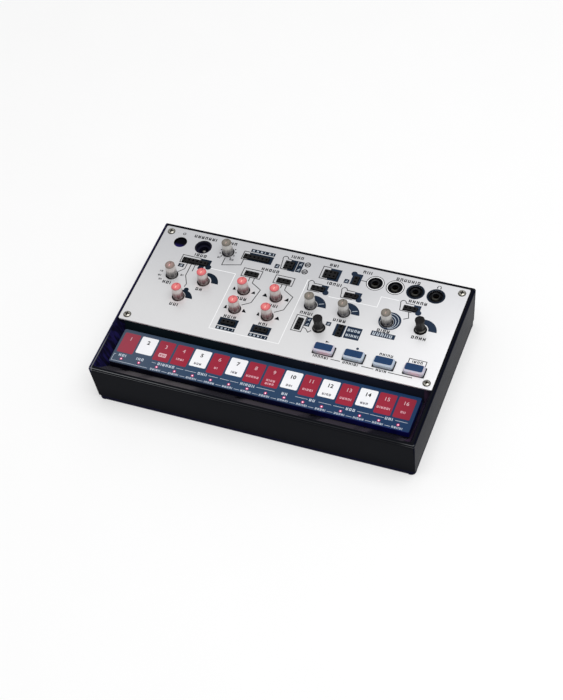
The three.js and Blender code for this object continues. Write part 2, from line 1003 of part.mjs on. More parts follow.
// The main board carries the potentiometers and the key switches, which are soldered to it
function mainBoard() {
  const plate = box(-boardSide, boardSide, boardFront, boardBack, -boardThickness, 0);
  const notches = screwPlaces.map(([x, y]) =>
    boxAt(
      x,
      y,
      2 * (boardNotch + boardSide - Math.abs(x)),
      2 * boardNotch,
      -boardThickness - overrun,
      overrun,
    ),
  );
  const pots = Object.values(knobShares).map((place) =>
    boxAt(...onPanel(place), potSize, potSize, -boardThickness / 2, potHeight),
  );
  const bores = Object.values(knobShares).map((place) =>
    rod(
      ...onPanel(place),
      knobStemRadius + fitGap,
      knobStemFoot - boardTop - fitGap,
      potHeight + overrun,
      smallSides,
    ),
  );
  const switches = Object.values(buttonShares).map((place) =>
    boxAt(...onPanel(place), keySwitchSize, keySwitchSize, -boardThickness / 2, keySwitchHeight),
  );
  const screwHoles = boardScrewPlaces.map((place) =>
    rod(
      ...place,
      boardScrewShankRadius + fitGap,
      -boardThickness - overrun,
      overrun,
      smallSides,
    ),
  );
  return part(
    "main_board",
    cut(joined(plate, ...pots, ...switches), ...notches, ...bores, ...screwHoles),
    finishes.board,
    0,
    0,
    boardTop,
  );
}

const knobCollarFoot = panelBottom - knobCollarDepth;
const knobStemFoot = knobCollarFoot - knobStemLength;

// A plain knob is turned, with a slot across half its top to show where it points
function plainKnob() {
  const foot = knobCollarFoot - deckHeight;
  const profile = [
    [0, knobStemFoot - deckHeight],
    [knobStemRadius, knobStemFoot - deckHeight],
    [knobStemRadius, foot],
    [knobBaseRadius, foot],
    [knobBaseRadius, knobWaist],
    [knobTopRadius, knobHeight - knobEdge],
    [knobTopRadius - knobEdge, knobHeight],
    [0, knobHeight],
  ];
  return turned(profile);
}

function flutedKnob() {
  const outline = (radius) =>
    Array.from({ length: 2 * fluteCount }, (_, k) => {
      const reach = k % 2 ? radius - fluteDepth : radius;
      const angle = (Math.PI * k) / fluteCount;
      return new THREE.Vector2(reach * Math.cos(angle), reach * Math.sin(angle));
    });
  const body = loft([
    { z: knobWaist, outline: outline(knobBaseRadius) },
    { z: knobHeight - knobEdge, outline: outline(knobTopRadius) },
    { z: knobHeight, outline: outline(knobTopRadius - knobEdge) },
  ]);
  const foot = knobCollarFoot - deckHeight;
  const profile = [
    [0, knobStemFoot - deckHeight],
    [knobStemRadius, knobStemFoot - deckHeight],
    [knobStemRadius, foot],
    [knobBaseRadius, foot],
    [knobBaseRadius, knobWaist + knobEdge],
    [0, knobWaist + knobEdge],
  ];
  return joined(body, turned(profile));
}

function knobs() {
  const slot = box(
    -knobSlotWidth / 2,
    knobSlotWidth / 2,
    0,
    knobTopRadius + overrun,
    knobHeight - knobSlotDepth,
    knobHeight + overrun,
  );
  const plain = cut(plainKnob(), slot);
  const fluted = cut(flutedKnob(), slot);
  return Object.entries(knobShares).map(([name, place]) => {
    const colour = place[2];
    const shape = colour === "black" ? fluted : plain;
    return part(name, shape, finishes[colour], ...onPanel(place), deckHeight);
  });
}

// A key cap: a block with rounded edges, and under the panel a stem and a flange to front and back
function buttonCap() {
  const [x, y] = [buttonWidth / 2, buttonDepth / 2];
  const outline = (inset) =>
    roundedRectangle(inset - x, x - inset, inset - y, y - inset, buttonCorner);
  const flangeTop = -panelThickness - fitGap;
  const flangeFoot = flangeTop - buttonFlangeThickness;
  const cap = loft([
    { z: flangeFoot, outline: outline(0) },
    { z: buttonRise - buttonEdge, outline: outline(0) },
    { z: buttonRise, outline: outline(buttonEdge) },
  ]);
  const flange = boxAt(
    0,
    0,
    buttonWidth,
    buttonDepth + 2 * (buttonFlange + buttonHoleGap),
    flangeFoot,
    flangeTop,
  );
  const stemFoot = boardTop + keySwitchHeight + buttonTravel + fitGap - deckHeight;
  const stem = boxAt(0, 0, buttonStemSize, buttonStemSize, stemFoot, flangeTop);
  return joined(cap, flange, stem);
}

function buttons() {
  const cap = buttonCap();
  return Object.entries(buttonShares).map(([name, place]) =>
    part(name, cap, finishes.milk, ...onPanel(place), deckHeight),
  );
}

function powerButton() {
  const radius = powerHoleRadius - slideGap;
  const top = -powerRecess;
  const stemFoot = boardTop + powerSwitchHeight - powerStemInSwitch - deckHeight;
  const profile = [
    [0, stemFoot],
    [powerStemRadius, stemFoot],
    [powerStemRadius, top - powerHeadHeight],
    [radius, top - powerHeadHeight],
    [radius, top],
    [0, top],
  ];
  return part("power_button", turned(profile), finishes.black, ...onPanel(powerShares), deckHeight);
}

function powerSwitch() {
  const body = boxAt(0, 0, powerSwitchSize, powerSwitchSize, 0, powerSwitchHeight);
  const bore = rod(
    0,
    0,
    powerStemRadius + fitGap,
    powerSwitchHeight - powerStemInSwitch - powerTravel - fitGap,
    powerSwitchHeight + overrun,
    smallSides,
  );
  return part("power_switch", cut(body, bore), finishes.socket, ...onPanel(powerShares), boardTop);
}

// The power inlet: a cup with a face below the deck, a round socket in it and a pin up its middle
function inletJack() {
  const top = deckHeight - inletRimDrop - boardTop;
  const face = deckHeight - inletFaceDrop - boardTop;
  const radius = inletHoleRadius - inletGap;
  const body = joined(
    boxAt(0, 0, inletBodyWidth, inletBodyDepth, 0, inletBodyHeight),
    rod(0, 0, radius, 0, top),
  );
  const cup = rod(0, 0, radius - inletWall, face, top + overrun);
  const socket = rod(0, 0, inletSocketRadius, inletFloor, face + overrun);
  const pin = rod(0, 0, inletPinRadius, inletFloor / 2, face - inletPinDrop, smallSides);
  return part(
    "power_inlet",
    joined(cut(body, cup, socket), pin),
    finishes.socket,
    ...onPanel(inletShares),
    boardTop,
  );
}

function audioJacks() {
  const top = deckHeight - jackRimDrop - boardTop;
  const radius = jackHoleRadius - jackGap;
  const bodyTop = panelBottom - fitGap - boardTop;
  const body = joined(
    boxAt(0, 0, jackBodyWidth, jackBodyDepth, 0, bodyTop),
    rod(0, 0, radius, bodyTop / 2, top),
  );
  const bore = turned([
    [0, jackFloor],
    [jackBore / 2, jackFloor],
    [jackBore / 2, top - jackMouthDepth],
    [jackMouthRadius, top],
    [jackMouthRadius, top + overrun],
    [0, top + overrun],
  ]);
  const jack = cut(body, bore);
  return Object.entries(jackShares).map(([name, place]) =>
    part(name, jack, finishes.socket, ...onPanel(place), boardTop),
  );
}

function socketSize([across, deep]) {
  return [
    across * pinSpacing + 2 * (across > 1 ? socketEndWall : socketSideWall),
    deep * pinSpacing + 2 * (deep > 1 ? socketEndWall : socketSideWall),
  ];
}

function patchSockets() {
  return Object.entries(socketShares).map(([name, place]) => {
    const [across, deep] = socketPinCounts[name];
    const [width, depth] = socketSize([across, deep]);
    const top = deckHeight + socketRise - boardTop;
    const holes = [];
    for (let i = 0; i < across; i += 1) {
      for (let j = 0; j < deep; j += 1) {
        const x = (i - (across - 1) / 2) * pinSpacing;
        const y = (j - (deep - 1) / 2) * pinSpacing;
        holes.push(boxAt(x, y, socketHole, socketHole, top - socketHoleDepth, top + overrun));
      }
    }
    const block = boxAt(0, 0, width, depth, 0, top);
    return part(name, cut(block, ...holes), finishes.socket, ...onPanel(place), boardTop);
  });
}

// The flat cable hangs from the keyboard board through its slot and rises to the main board
function flatCable() {
  const y0 = wellBack - cableFromWellBack;
  const y1 = panelFront + boardFrontGap + cableFromBoardFront;
  const half = cableThickness / 2;
  const low = shelfBottom - cableDrop;
  const profile = [
    [y0 - half, wellFloor - fitGap],
    [y0 - half, low - half],
    [y1 + half, low - half],
    [y1 + half, boardBottom - fitGap],
    [y1 - half, boardBottom - fitGap],
    [y1 - half, low + half],
    [y0 + half, low + half],
    [y0 + half, wellFloor - fitGap],
  ];
  const cable = drawnAlongX(profile, cableX - cableWidth / 2, cableX + cableWidth / 2);
  return part("flat_cable", cable, finishes.cable);
}

const group = new THREE.Group();
group.add(
  bottomCase(),
  topCase(),
  topPanel(),
  touchStrip(),
  keyboardBoard(),
  mainBoard(),
  flatCable(),
  speaker(),
  batteryCover(),
  batteryContacts("battery_contacts_left", bayX0 + fitGap, 1),
  batteryContacts("battery_contacts_right", bayX1 - fitGap, -1),
  powerSwitch(),
  powerButton(),
  inletJack(),
  ...feet(),
  ...panelScrews(),
  ...boardScrews(),
  ...knobs(),
  ...buttons(),
  ...audioJacks(),
  ...patchSockets(),
);

export default group;
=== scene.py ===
"""Looks of a small tabletop patch synthesizer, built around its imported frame.

Tables and helpers work in millimetres, on the frame's own axes; meshes are in metres.
"""

import math
import random

import bmesh
import bpy
from mathutils import Matrix, Vector


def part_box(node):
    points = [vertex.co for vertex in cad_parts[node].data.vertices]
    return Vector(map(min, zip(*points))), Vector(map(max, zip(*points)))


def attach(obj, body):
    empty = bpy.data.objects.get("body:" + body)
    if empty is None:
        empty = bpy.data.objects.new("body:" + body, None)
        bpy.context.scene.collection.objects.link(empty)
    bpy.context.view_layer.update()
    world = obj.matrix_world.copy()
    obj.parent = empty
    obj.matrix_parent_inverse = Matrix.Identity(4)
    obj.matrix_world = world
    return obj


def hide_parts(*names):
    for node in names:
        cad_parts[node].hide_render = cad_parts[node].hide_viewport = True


MM = 0.001

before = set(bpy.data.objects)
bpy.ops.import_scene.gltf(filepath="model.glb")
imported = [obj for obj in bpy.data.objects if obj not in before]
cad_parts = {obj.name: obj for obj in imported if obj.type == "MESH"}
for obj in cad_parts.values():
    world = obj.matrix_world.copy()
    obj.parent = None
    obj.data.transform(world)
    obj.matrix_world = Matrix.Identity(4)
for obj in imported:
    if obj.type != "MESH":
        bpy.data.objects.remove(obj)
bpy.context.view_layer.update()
bpy.context.scene.view_settings.view_transform = "Standard"


def add_object(name, data):
    made = bpy.data.objects.new(name, data)
    bpy.context.scene.collection.objects.link(made)
    return made


# Camera: where the photograph was taken from, in degrees, millimetres and pixels
PHOTO_LONG_SIDE = 700
FOCAL_PIXELS = 1749.24
CAMERA_ANGLES = {"azimuth": 27.62, "elevation": 51.08, "roll": 9.13}
CAMERA_DISTANCE = 991.67
CAMERA_TARGET = (1.55, -8.64, 20.54)
SENSOR_WIDTH = 36.0


def add_camera():
    azimuth, elevation, roll = (math.radians(angle) for angle in CAMERA_ANGLES.values())
    level = math.cos(elevation)
    back = Vector((math.sin(azimuth) * level, -math.cos(azimuth) * level, math.sin(elevation)))
    right = Vector((0, 0, 1)).cross(back).normalized()
    up = back.cross(right)
    turned_right = math.cos(roll) * right - math.sin(roll) * up
    turned_up = math.sin(roll) * right + math.cos(roll) * up
    camera = add_object("camera", bpy.data.cameras.new("camera"))
    camera.data.sensor_width = SENSOR_WIDTH
    camera.data.lens = FOCAL_PIXELS / PHOTO_LONG_SIDE * SENSOR_WIDTH
    axes = Matrix((turned_right, turned_up, back)).transposed()
    place = (Vector(CAMERA_TARGET) + CAMERA_DISTANCE * back) * MM
    camera.matrix_world = Matrix.Translation(place) @ axes.to_4x4()
    bpy.context.scene.camera = camera


add_camera()


# Measures of the frame
def centre(node):
    low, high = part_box(node)
    return (low.x + high.x) / 2 / MM, (low.y + high.y) / 2 / MM


def half_size(node):
    low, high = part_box(node)
    return (high.x - low.x) / 2 / MM, (high.y - low.y) / 2 / MM


def top(node):
    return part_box(node)[1].z / MM


def bottom(node):
    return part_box(node)[0].z / MM


def named(start):
    return [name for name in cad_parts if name.startswith(start)]


DECK = top("top_panel")
STRIP_TOP = top("touch_strip")


def on_deck(node):
    """The origin of a piece that stands at a node's middle, at the deck's height."""
    return (*centre(node), DECK)


def points_at(node, points):
    """Points given from the middle of a node, as points of the deck."""
    x, y = centre(node)
    return [(x + dx, y + dy) for dx, dy in points]


def box_at(node, x0, x1, y0, y1):
    """The limits of a rectangle given from the middle of a node."""
    x, y = centre(node)
    return x + x0, x + x1, y + y0, y + y1


# Materials
SOCKET_NAMES = {
    "roughness": "Roughness",
    "metallic": "Metallic",
    "specular": "Specular IOR Level",
    "coat": "Coat Weight",
    "subsurface": "Subsurface Weight",
    "glow": "Emission Strength",
}
PLASTIC_CLOUD = 9.0
INK_CLOUD = 2.0


def rgb(colour):
    """A colour given as it shows on a screen, 0 to 255, as the linear one that a shader takes."""
    linear = [v / 255 / 12.92 if v <= 10 else ((v / 255 + 0.055) / 1.055) ** 2.4 for v in colour]
    return (*linear, 1.0)


class Paint:
    """A material with its Principled shader, and short calls for the nodes that feed it.

    A term is a number, a socket, (value, start, end) for a smooth rise from 0 to 1, where start may be
    the larger, or (value, start, end, soft) for a band. Its value is a socket or the name of an axis.
    A colour is a socket, or red, green and blue as they show on a screen.
    """

    def __init__(self, name, colour, **values):
        self.material = bpy.data.materials.new(name)
        self.material.use_nodes = True
        self.material.diffuse_color = rgb(colour)
        self.nodes = self.material.node_tree.nodes
        self.links = self.material.node_tree.links
        self.shader = self.nodes["Principled BSDF"]
        self.axes = {}
        self.set("Base Color", rgb(colour))
        for key, value in values.items():
            self.set(SOCKET_NAMES[key], value)

    def set(self, socket, value):
        self.feed(self.shader.inputs[socket], value)

    def feed(self, socket, value):
        if isinstance(value, bpy.types.NodeSocket):
            self.links.new(value, socket)
        else:
            socket.default_value = value

    def node(self, kind, inputs, **settings):
        made = self.nodes.new(kind)
        for key, value in settings.items():
            setattr(made, key, value)
        for key, value in inputs.items():
            self.feed(made.inputs[key], value)
        return made

    def math(self, operation, one, other=0.0):
        return self.node("ShaderNodeMath", {0: one, 1: other}, operation=operation).outputs[0]

    def coordinates(self):
        return self.node("ShaderNodeTexCoord", {}).outputs["Object"]

    def along(self, axis):
        """Where a point is on its piece along x, y or z, in millimetres."""
        if not self.axes:
            inputs = {0: self.coordinates(), "Scale": 1 / MM}
            scaled = self.node("ShaderNodeVectorMath", inputs, operation="SCALE")
            parts = self.node("ShaderNodeSeparateXYZ", {0: scaled.outputs[0]}).outputs
            self.axes = dict(zip("xyz", parts))
        return self.axes[axis]

    def reach(self, x=0.0, y=0.0):
        """How far a point is from a place on its piece, seen from above, in millimetres."""
        squares = []
        for axis, middle in (("x", x), ("y", y)):
            away = self.math("SUBTRACT", self.along(axis), middle)
            squares.append(self.math("MULTIPLY", away, away))
        return self.math("SQRT", self.math("ADD", *squares))

    def rise(self, value, start, end):
        inputs = {"Value": value, "From Min": start, "From Max": end}
        made = self.node("ShaderNodeMapRange", inputs, interpolation_type="SMOOTHSTEP")
        return made.outputs["Result"]

    def term(self, term):
        if not isinstance(term, tuple):
            return term
        value, start, end, *soft = term
        value = self.along(value) if isinstance(value, str) else value
        if not soft:
            return self.rise(value, start, end)
        into = self.rise(value, start - soft[0], start + soft[0])
        return self.math("MULTIPLY", into, self.rise(value, end + soft[0], end - soft[0]))

    def share(self, *terms):
        """The product of terms."""
        product = self.term(terms[0])
        for other in terms[1:]:
            product = self.math("MULTIPLY", product, self.term(other))
        return product

    def noise(self, patch, detail=2.0, stretch=(1, 1, 1)):
        """A cloudy value from 0 to 1 whose patches are about so many millimetres wide."""
        inputs = {0: self.coordinates(), 1: stretch}
        scaled = self.node("ShaderNodeVectorMath", inputs, operation="MULTIPLY")
        inputs = {"Vector": scaled.outputs[0], "Scale": 1 / (patch * MM), "Detail": detail}
        return self.node("ShaderNodeTexNoise", inputs).outputs[0]

    def blend(self, term, *colours):
        one, other = (c if isinstance(c, bpy.types.NodeSocket) else rgb(c) for c in colours)
        inputs = {0: self.term(term), 6: one, 7: other}
        return self.node("ShaderNodeMix", inputs, data_type="RGBA").outputs[2]

    def clouds(self, patch, one, other):
        return self.blend(self.noise(patch), one, other)

    def over(self, colour, *layers):
        """A colour under layers, each given as its own colour and the terms of the share it covers."""
        for other, *terms in layers:
            colour = self.blend(self.share(*terms), colour, other)
        return colour

    def uneven(self, patch, detail, low, high):
        """A cloudy value between two limits."""
        inputs = {"Value": self.noise(patch, detail), "To Min": low, "To Max": high}
        return self.node("ShaderNodeMapRange", inputs).outputs["Result"]

    def bump(self, height, depth):
        inputs = {"Height": height, "Distance": depth * MM, "Strength": 1.0}
        self.set("Normal", self.node("ShaderNodeBump", inputs).outputs["Normal"])

    def finish(self, colour, gloss=None, grain=None):
        """The base colour; gloss is the roughness as uneven takes it, grain a bump's patch and depth."""
        self.set("Base Color", colour)
        if gloss:
            self.set("Roughness", self.uneven(*gloss))
        if grain:
            patch, depth = grain
            self.bump(self.noise(patch), depth)
        return self


def plastic(name, colour, other, grain, **values):
    """Moulded plastic: a slightly uneven colour and a fine grain."""
    paint = Paint(name, colour, **values)
    return paint.finish(paint.clouds(PLASTIC_CLOUD, colour, other), grain=grain)


def metal(name, colour, other, patch, low, high):
    paint = Paint(name, colour, metallic=1.0)
    return paint.finish(paint.clouds(patch, colour, other), gloss=(patch, 4.0, low, high))


def ink_paint(name, colour, other):
    paint = Paint(name, colour, roughness=0.45, specular=0.05)
    return paint.finish(paint.clouds(INK_CLOUD, colour, other))


# Meshes
ROUND = 48
ROUND_STEPS = 4
EDGE_MIDDLE_SHARE = 0.3
SMOOTH_ANGLE = 40.0
quarter_angles = [math.radians(90 * k / ROUND_STEPS) for k in range(ROUND_STEPS + 1)]
QUARTER_ROUND = [(math.cos(angle), math.sin(angle)) for angle in quarter_angles]


def ring_points(radius, sides, x=0.0, y=0.0, start=0.0, end=360.0):
    """Points round an arc; a whole turn doesn't repeat its first point."""
    whole = end - start >= 360.0
    steps = sides if whole else sides + 1
    angles = [math.radians(start + (end - start) * k / sides) for k in range(steps)]
    return [(x + radius * math.cos(a), y + radius * math.sin(a)) for a in angles]


def around(x, y, dx, dy):
    """The limits of a rectangle, given its middle and its half sizes."""
    return x - dx, x + dx, y - dy, y + dy


def box_outline(x0, x1, y0, y1):
    return [(x0, y0), (x1, y0), (x1, y1), (x0, y1)]


def rounded_rectangle(x0, x1, y0, y1, radius, steps=5):
    corners = [
        (x1 - radius, y1 - radius, 0),
        (x0 + radius, y1 - radius, 90),
        (x0 + radius, y0 + radius, 180),
        (x1 - radius, y0 + radius, 270),
    ]
    arcs = [ring_points(radius, steps, x, y, start, start + 90) for x, y, start in corners]
    return [point for arc in arcs for point in arc]


def offset(points, distance, closed=True):
    """The line moved to its left by a distance, with mitred corners."""
    count = len(points)
    moved = []
    for k, point in enumerate(points):
        here = Vector(point)
        ways = []
        if closed or k:
            ways.append((here - Vector(points[k - 1])).normalized())
        if closed or k + 1 < count:
            ways.append((Vector(points[(k + 1) % count]) - here).normalized())
        sides = [Vector((-way.y, way.x)) for way in ways]
        mean = sum(sides, Vector((0, 0))).normalized()
        moved.append(tuple(here + mean * (distance / mean.dot(sides[0]))))
    return moved


def join_rings(bm, one, other):
    for k, vertex in enumerate(one):
        after = (k + 1) % len(one)
        bm.faces.new((vertex, one[after], other[after], other[k]))


def add_rings(bm, layers):
    """Rings of vertices through (outline, height) pairs, each joined to the next by faces."""
    rings = [[bm.verts.new((x * MM, y * MM, z * MM)) for x, y in line] for line, z in layers]
    for one, other in zip(rings, rings[1:]):
        join_rings(bm, one, other)
    return rings


def loft(bm, layers):
    """A closed solid through outlines with equal point counts, each an (outline, height) pair."""
    rings = add_rings(bm, layers)
    bm.faces.new(rings[0])
    bm.faces.new(rings[-1])


def block(bm, x0, x1, y0, y1, low, high):
    outline = box_outline(x0, x1, y0, y1)
    loft(bm, [(outline, low), (outline, high)])


def tube(bm, outer, inner, low, high):
    """What lies between two closed outlines of as many points each, and between two heights."""
    rings = add_rings(bm, [(outer, low), (outer, high), (inner, high), (inner, low)])
    join_rings(bm, rings[-1], rings[0])


def turn(bm, profile):
    """A closed solid of revolution through (radius, height) pairs, which start and end on the axis."""
    rings = add_rings(bm, [(ring_points(radius, ROUND), z) for radius, z in profile[1:-1]])
    for ring, (_, z) in ((rings[0], profile[0]), (rings[-1], profile[-1])):
        tip = bm.verts.new((0.0, 0.0, z * MM))
        for k, vertex in enumerate(ring):
            bm.faces.new((vertex, ring[(k + 1) % ROUND], tip))


def plate(bm, outline, holes, low, high, edge):
    """A flat plate with holes right through it, and a rounded edge to each rim."""
    upper, lower = [], []
    drop = edge * EDGE_MIDDLE_SHARE
    for loop, inset in [(outline, edge), *((hole, -edge) for hole in holes)]:
        middle = offset(loop, inset * EDGE_MIDDLE_SHARE)
        narrow = offset(loop, inset)
        levels = [(narrow, high), (middle, high - drop), (loop, high - edge)]
        levels += [(loop, low + edge), (middle, low + drop), (narrow, low)]
        rings = add_rings(bm, levels)
        upper.append(rings[0])
        lower.append(rings[-1])
    bm.edges.ensure_lookup_table()
    for loops in (upper, lower):
        edges = [bm.edges.get(pair) for loop in loops for pair in zip(loop, loop[1:] + loop[:1])]
        bmesh.ops.triangle_fill(bm, use_beauty=True, edges=edges)


def plain_mesh(name, bm):
    """The mesh of a bmesh, which is used up."""
    bmesh.ops.recalc_face_normals(bm, faces=bm.faces)
    mesh = bpy.data.meshes.new(name)
    bm.to_mesh(mesh)
    bm.free()
    return mesh


def painted_mesh(name, bm, paint):
    """A mesh in a material, shown smooth but for its sharp edges."""
    mesh = plain_mesh(name, bm)
    mesh.shade_smooth()
    mesh.set_sharp_from_angle(angle=math.radians(SMOOTH_ANGLE))
    mesh.materials.append(paint.material)
    return mesh


def even_normals(shown):
    even = shown.modifiers.new("even_normals", "WEIGHTED_NORMAL")
    even.keep_sharp = True


def place_mesh(name, mesh, body, at=(0.0, 0.0, 0.0)):
    """A mesh as a piece that rides on a body."""
    piece = add_object(name, mesh)
    piece.location = Vector(at) * MM
    even_normals(piece)
    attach(piece, body)
    return piece


def add_piece(name, bm, paint, body, at=(0.0, 0.0, 0.0)):
    return place_mesh(name, painted_mesh(name, bm, paint), body, at)


def carve(bm, cutter):
    """The first solid less the second, as a new bmesh. Both are used up."""
    carved = add_object("carved", plain_mesh("carved", bm))
    tool = add_object("cutter", plain_mesh("cutter", cutter))
    cut = carved.modifiers.new("cut", "BOOLEAN")
    cut.operation = "DIFFERENCE"
    cut.solver = "EXACT"
    cut.object = tool
    bpy.context.view_layer.update()
    left = bmesh.new()
    left.from_object(carved, bpy.context.evaluated_depsgraph_get())
    for used in (carved, tool):
        bpy.data.objects.remove(used)
    return left


# Print: how deep it goes, how high it stands, and the bars that stand for words
PRINT_ROOT = 0.06
KEY_LIFT = 0.03
INK_LIFT = 0.05
PALE_LIFT = 0.015
DISC_LIFT = 0.04
MARK_SHARES = (0.25, 0.74, 0.34)
SINGLE_MARK_SHARE = 0.15
BRIDGES = ((0.0,), (0.5,), (1.0,), (0.0, 1.0), (0.0, 0.5))
draw = random.Random(7)


class Print:
    """Printed shapes of one colour on a level surface: thin slabs that just stand out of it."""

    def __init__(self, level, lift):
        self.bm = bmesh.new()
        self.low = level - PRINT_ROOT
        self.high = level + lift

    def area(self, outline):
        loft(self.bm, [(outline, self.low), (outline, self.high)])

    def box(self, x0, x1, y0, y1, radius=0.0):
        sharp = box_outline(x0, x1, y0, y1)
        self.area(rounded_rectangle(x0, x1, y0, y1, radius) if radius else sharp)

    def box_round(self, outer, hole):
        """A rectangle less a smaller one that may reach its edge, each as x0, x1, y0, y1."""
        x0, x1, y0, y1 = outer
        hx0, hx1 = max(x0, hole[0]), min(x1, hole[1])
        hy0, hy1 = max(y0, hole[2]), min(y1, hole[3])
        parts = [(x0, hx0, y0, y1), (hx1, x1, y0, y1), (hx0, hx1, y0, hy0), (hx0, hx1, hy1, y1)]
        for part in parts:
            if part[1] > part[0] and part[3] > part[2]:
                self.box(*part)

    def disc(self, x, y, radius, sides=24):
        self.area(ring_points(radius, sides, x, y))

    def between(self, outer, inner):
        tube(self.bm, outer, inner, self.low, self.high)

    def loop(self, points, width):
        self.between(offset(points, -width / 2), offset(points, width / 2))

    def ring(self, x, y, radius, width, sides=ROUND):
        self.loop(ring_points(radius, sides, x, y), width)

    def line(self, points, width):
        left = offset(points, width / 2, closed=False)
        right = offset(points, -width / 2, closed=False)
        self.area(right + left[::-1])

    def arc(self, x, y, radius, width, start, end, sides=12):
        self.line(ring_points(radius, sides, x, y, start, end), width)

    def fan(self, x, y, inner, start_radius, end_radius, start, end, sides=12):
        """Part of a disc's rim that gets wider from one end to the other."""
        inside = ring_points(inner, sides, x, y, start, end)
        outside = []
        for k in range(sides + 1):
            share = k / sides
            radius = start_radius + (end_radius - start_radius) * share
            angle = math.radians(start + (end - start) * share)
            outside.append((x + radius * math.cos(angle), y + radius * math.sin(angle)))
        self.area(outside + inside[::-1])

    def marks(self, x0, x1, y, height, spacing=0.0):
        """A row of upright bars, single and in bridged pairs, in the place of a word."""
        low, high = y - height / 2, y + height / 2
        stem, wide, gap = (height * share for share in MARK_SHARES)
        x = x0
        while x + stem < x1:
            end = x + wide
            if end > x1 or draw.random() < SINGLE_MARK_SHARE:
                end = x + stem
                self.box(x, end, low, high)
            else:
                self.box(x, x + stem, low, high)
                self.box(end - stem, end, low, high)
                for share in draw.choice(BRIDGES):
                    bridge = low + (height - stem) * share
                    self.box(x + stem, end - stem, bridge, bridge + stem)
            x = x + spacing if spacing else end + gap

    def piece(self, name, paint, body, slot):
        return add_piece(name, self.bm, paint, body)


# The deck panel, with a hole for each thing that comes up through it
PANEL_CORNER = 1.0
PANEL_EDGE = 0.16
KNOB_HOLE_GAP = 0.6
JACK_HOLE = 4.4
POWER_HOLE = 3.95
INLET_HOLE = 5.1
BUTTON_SIZE = (11.8, 6.5)
BUTTON_CORNER = 1.5
BUTTON_HOLE_CORNER = 0.5
BUTTON_HOLE_GAP = 0.4
SOCKET_HOLE_GAP = 0.3
SCREW_HOLE = 1.7

# Light on the deck: the axis of a tone, where it starts and where it is full
DECK_FRONT = ("y", 62.0, -16.0)
DECK_RIGHT = ("x", 5.0, 118.0)
DECK_BACK = ("y", 5.0, 60.0)
BEHIND_FRONT_EDGE = ("y", -18.6, -18.4)
# Painted shade: the walls of the deck's holes are dark, behind the panel's front edge
SHADED_HOLE_WALL = ("z", DECK - 0.2, DECK - 0.3)
# Painted light: pink pools on the deck round the feet of the lit knobs
LIT_KNOBS = ("knob_mod", "knob_fold", "knob_attack", "knob_release", "knob_shape", "knob_time")
GLOW_SHIFT = (0.8, -1.6)
GLOW_FALL = (6.5, 3.4)


def silver_paint():
    """Silver paint that brightens toward the deck's right front corner, as it does under its softbox."""
    paint = Paint("satin_silver", (214, 214, 217), metallic=0.35, roughness=0.36, specular=0.3)
    # pink pools of painted light round the lit knobs
    painted_light_pools = []
    for node in LIT_KNOBS:
        (middle,) = points_at(node, [GLOW_SHIFT])
        painted_light_pools.append(((234, 222, 222), (paint.reach(*middle), *GLOW_FALL), 0.4))
    colour = paint.over(
        paint.clouds(26.0, (190, 191, 194), (196, 196, 198)),
        ((216, 216, 217), DECK_FRONT),
        ((243, 243, 245), DECK_RIGHT),
        ((184, 185, 190), DECK_BACK, 0.4),
        ((224, 224, 226), paint.noise(0.5), 0.2),
        *painted_light_pools,
        # painted shade on the walls of the holes
        ((26, 26, 30), SHADED_HOLE_WALL, BEHIND_FRONT_EDGE),
    )
    return paint.finish(colour, gloss=(14.0, 3.0, 0.32, 0.4), grain=(0.16, 0.003))


def socket_hole(node):
    dx, dy = (half + SOCKET_HOLE_GAP for half in half_size(node))
    return around(*centre(node), dx, dy)


def panel_holes():
    radii = {node: half_size(node)[0] + KNOB_HOLE_GAP for node in named("knob_")}
    radii.update({node: JACK_HOLE for node in named("jack_")})
    radii.update({node: SCREW_HOLE for node in named("panel_screw_")})
    radii.update(power_button=POWER_HOLE, power_inlet=INLET_HOLE)
    holes = [ring_points(radius, ROUND, *centre(node)) for node, radius in radii.items()]
    dx, dy = (side / 2 + BUTTON_HOLE_GAP for side in BUTTON_SIZE)
    for node in named("button_"):
        holes.append(rounded_rectangle(*around(*centre(node), dx, dy), BUTTON_HOLE_CORNER))
    return holes + [box_outline(*socket_hole(node)) for node in named("socket_")]


def deck_panel():
    limits = around(*centre("top_panel"), *half_size("top_panel"))
    outline = rounded_rectangle(*limits, PANEL_CORNER)
    bm = bmesh.new()
    plate(bm, outline, panel_holes(), bottom("top_panel"), DECK, PANEL_EDGE)
    piece = add_piece("deck_panel", bm, silver_paint(), "case")
    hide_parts("top_panel")


deck_panel()

# Case, as the frame has it
SHARP_ANGLE = 38.0
WELD_DISTANCE = 0.001
SMOKE_SPECULAR = 0.0045

# Tones of the case: axis, start and end, and for a band how soft its ends are
FRONT_WALL = ("y", -56.2, -56.8)
# Painted shade: the right wall is darker
SHADED_RIGHT_WALL = ("x", 95.2, 96.0)
BACK_WALL = ("y", 54.6, 55.4)
UNDER_RIM = ("z", 28.0, 26.0)
ACROSS_WELL = ("x", -90.0, 90.0, 0.6)
ALONG_WELL = ("y", -55.0, -19.6, 0.8)
FRONT_SLOPE = ("y", -55.9, -46.5, 0.1)
BACK_SLOPE = ("y", -27.0, -19.2, 0.3)
LEFT_SLOPE = ("x", -94.4, -90.0, 0.3)
RIGHT_SLOPE = ("x", 90.0, 94.4, 0.3)
BELOW_DECK = ("z", 30.0, 29.0)
HAZE_FADING = ("x", -80.0, 40.0)
VIOLET_FADING = ("x", 91.0, 93.6)
NAVY_PALING = ("x", -60.0, 70.0)
BOSS_XS = (-79.0, -9.0, 35.0, 88.0)
BOSS_HALF = 2.0
BOSS_DEPTH = ("y", -49.6, -46.2, 0.8)
LEFT_RIM = ("x", -94.4, -95.6)
RIM_HEIGHT = ("z", 24.0, 29.5)
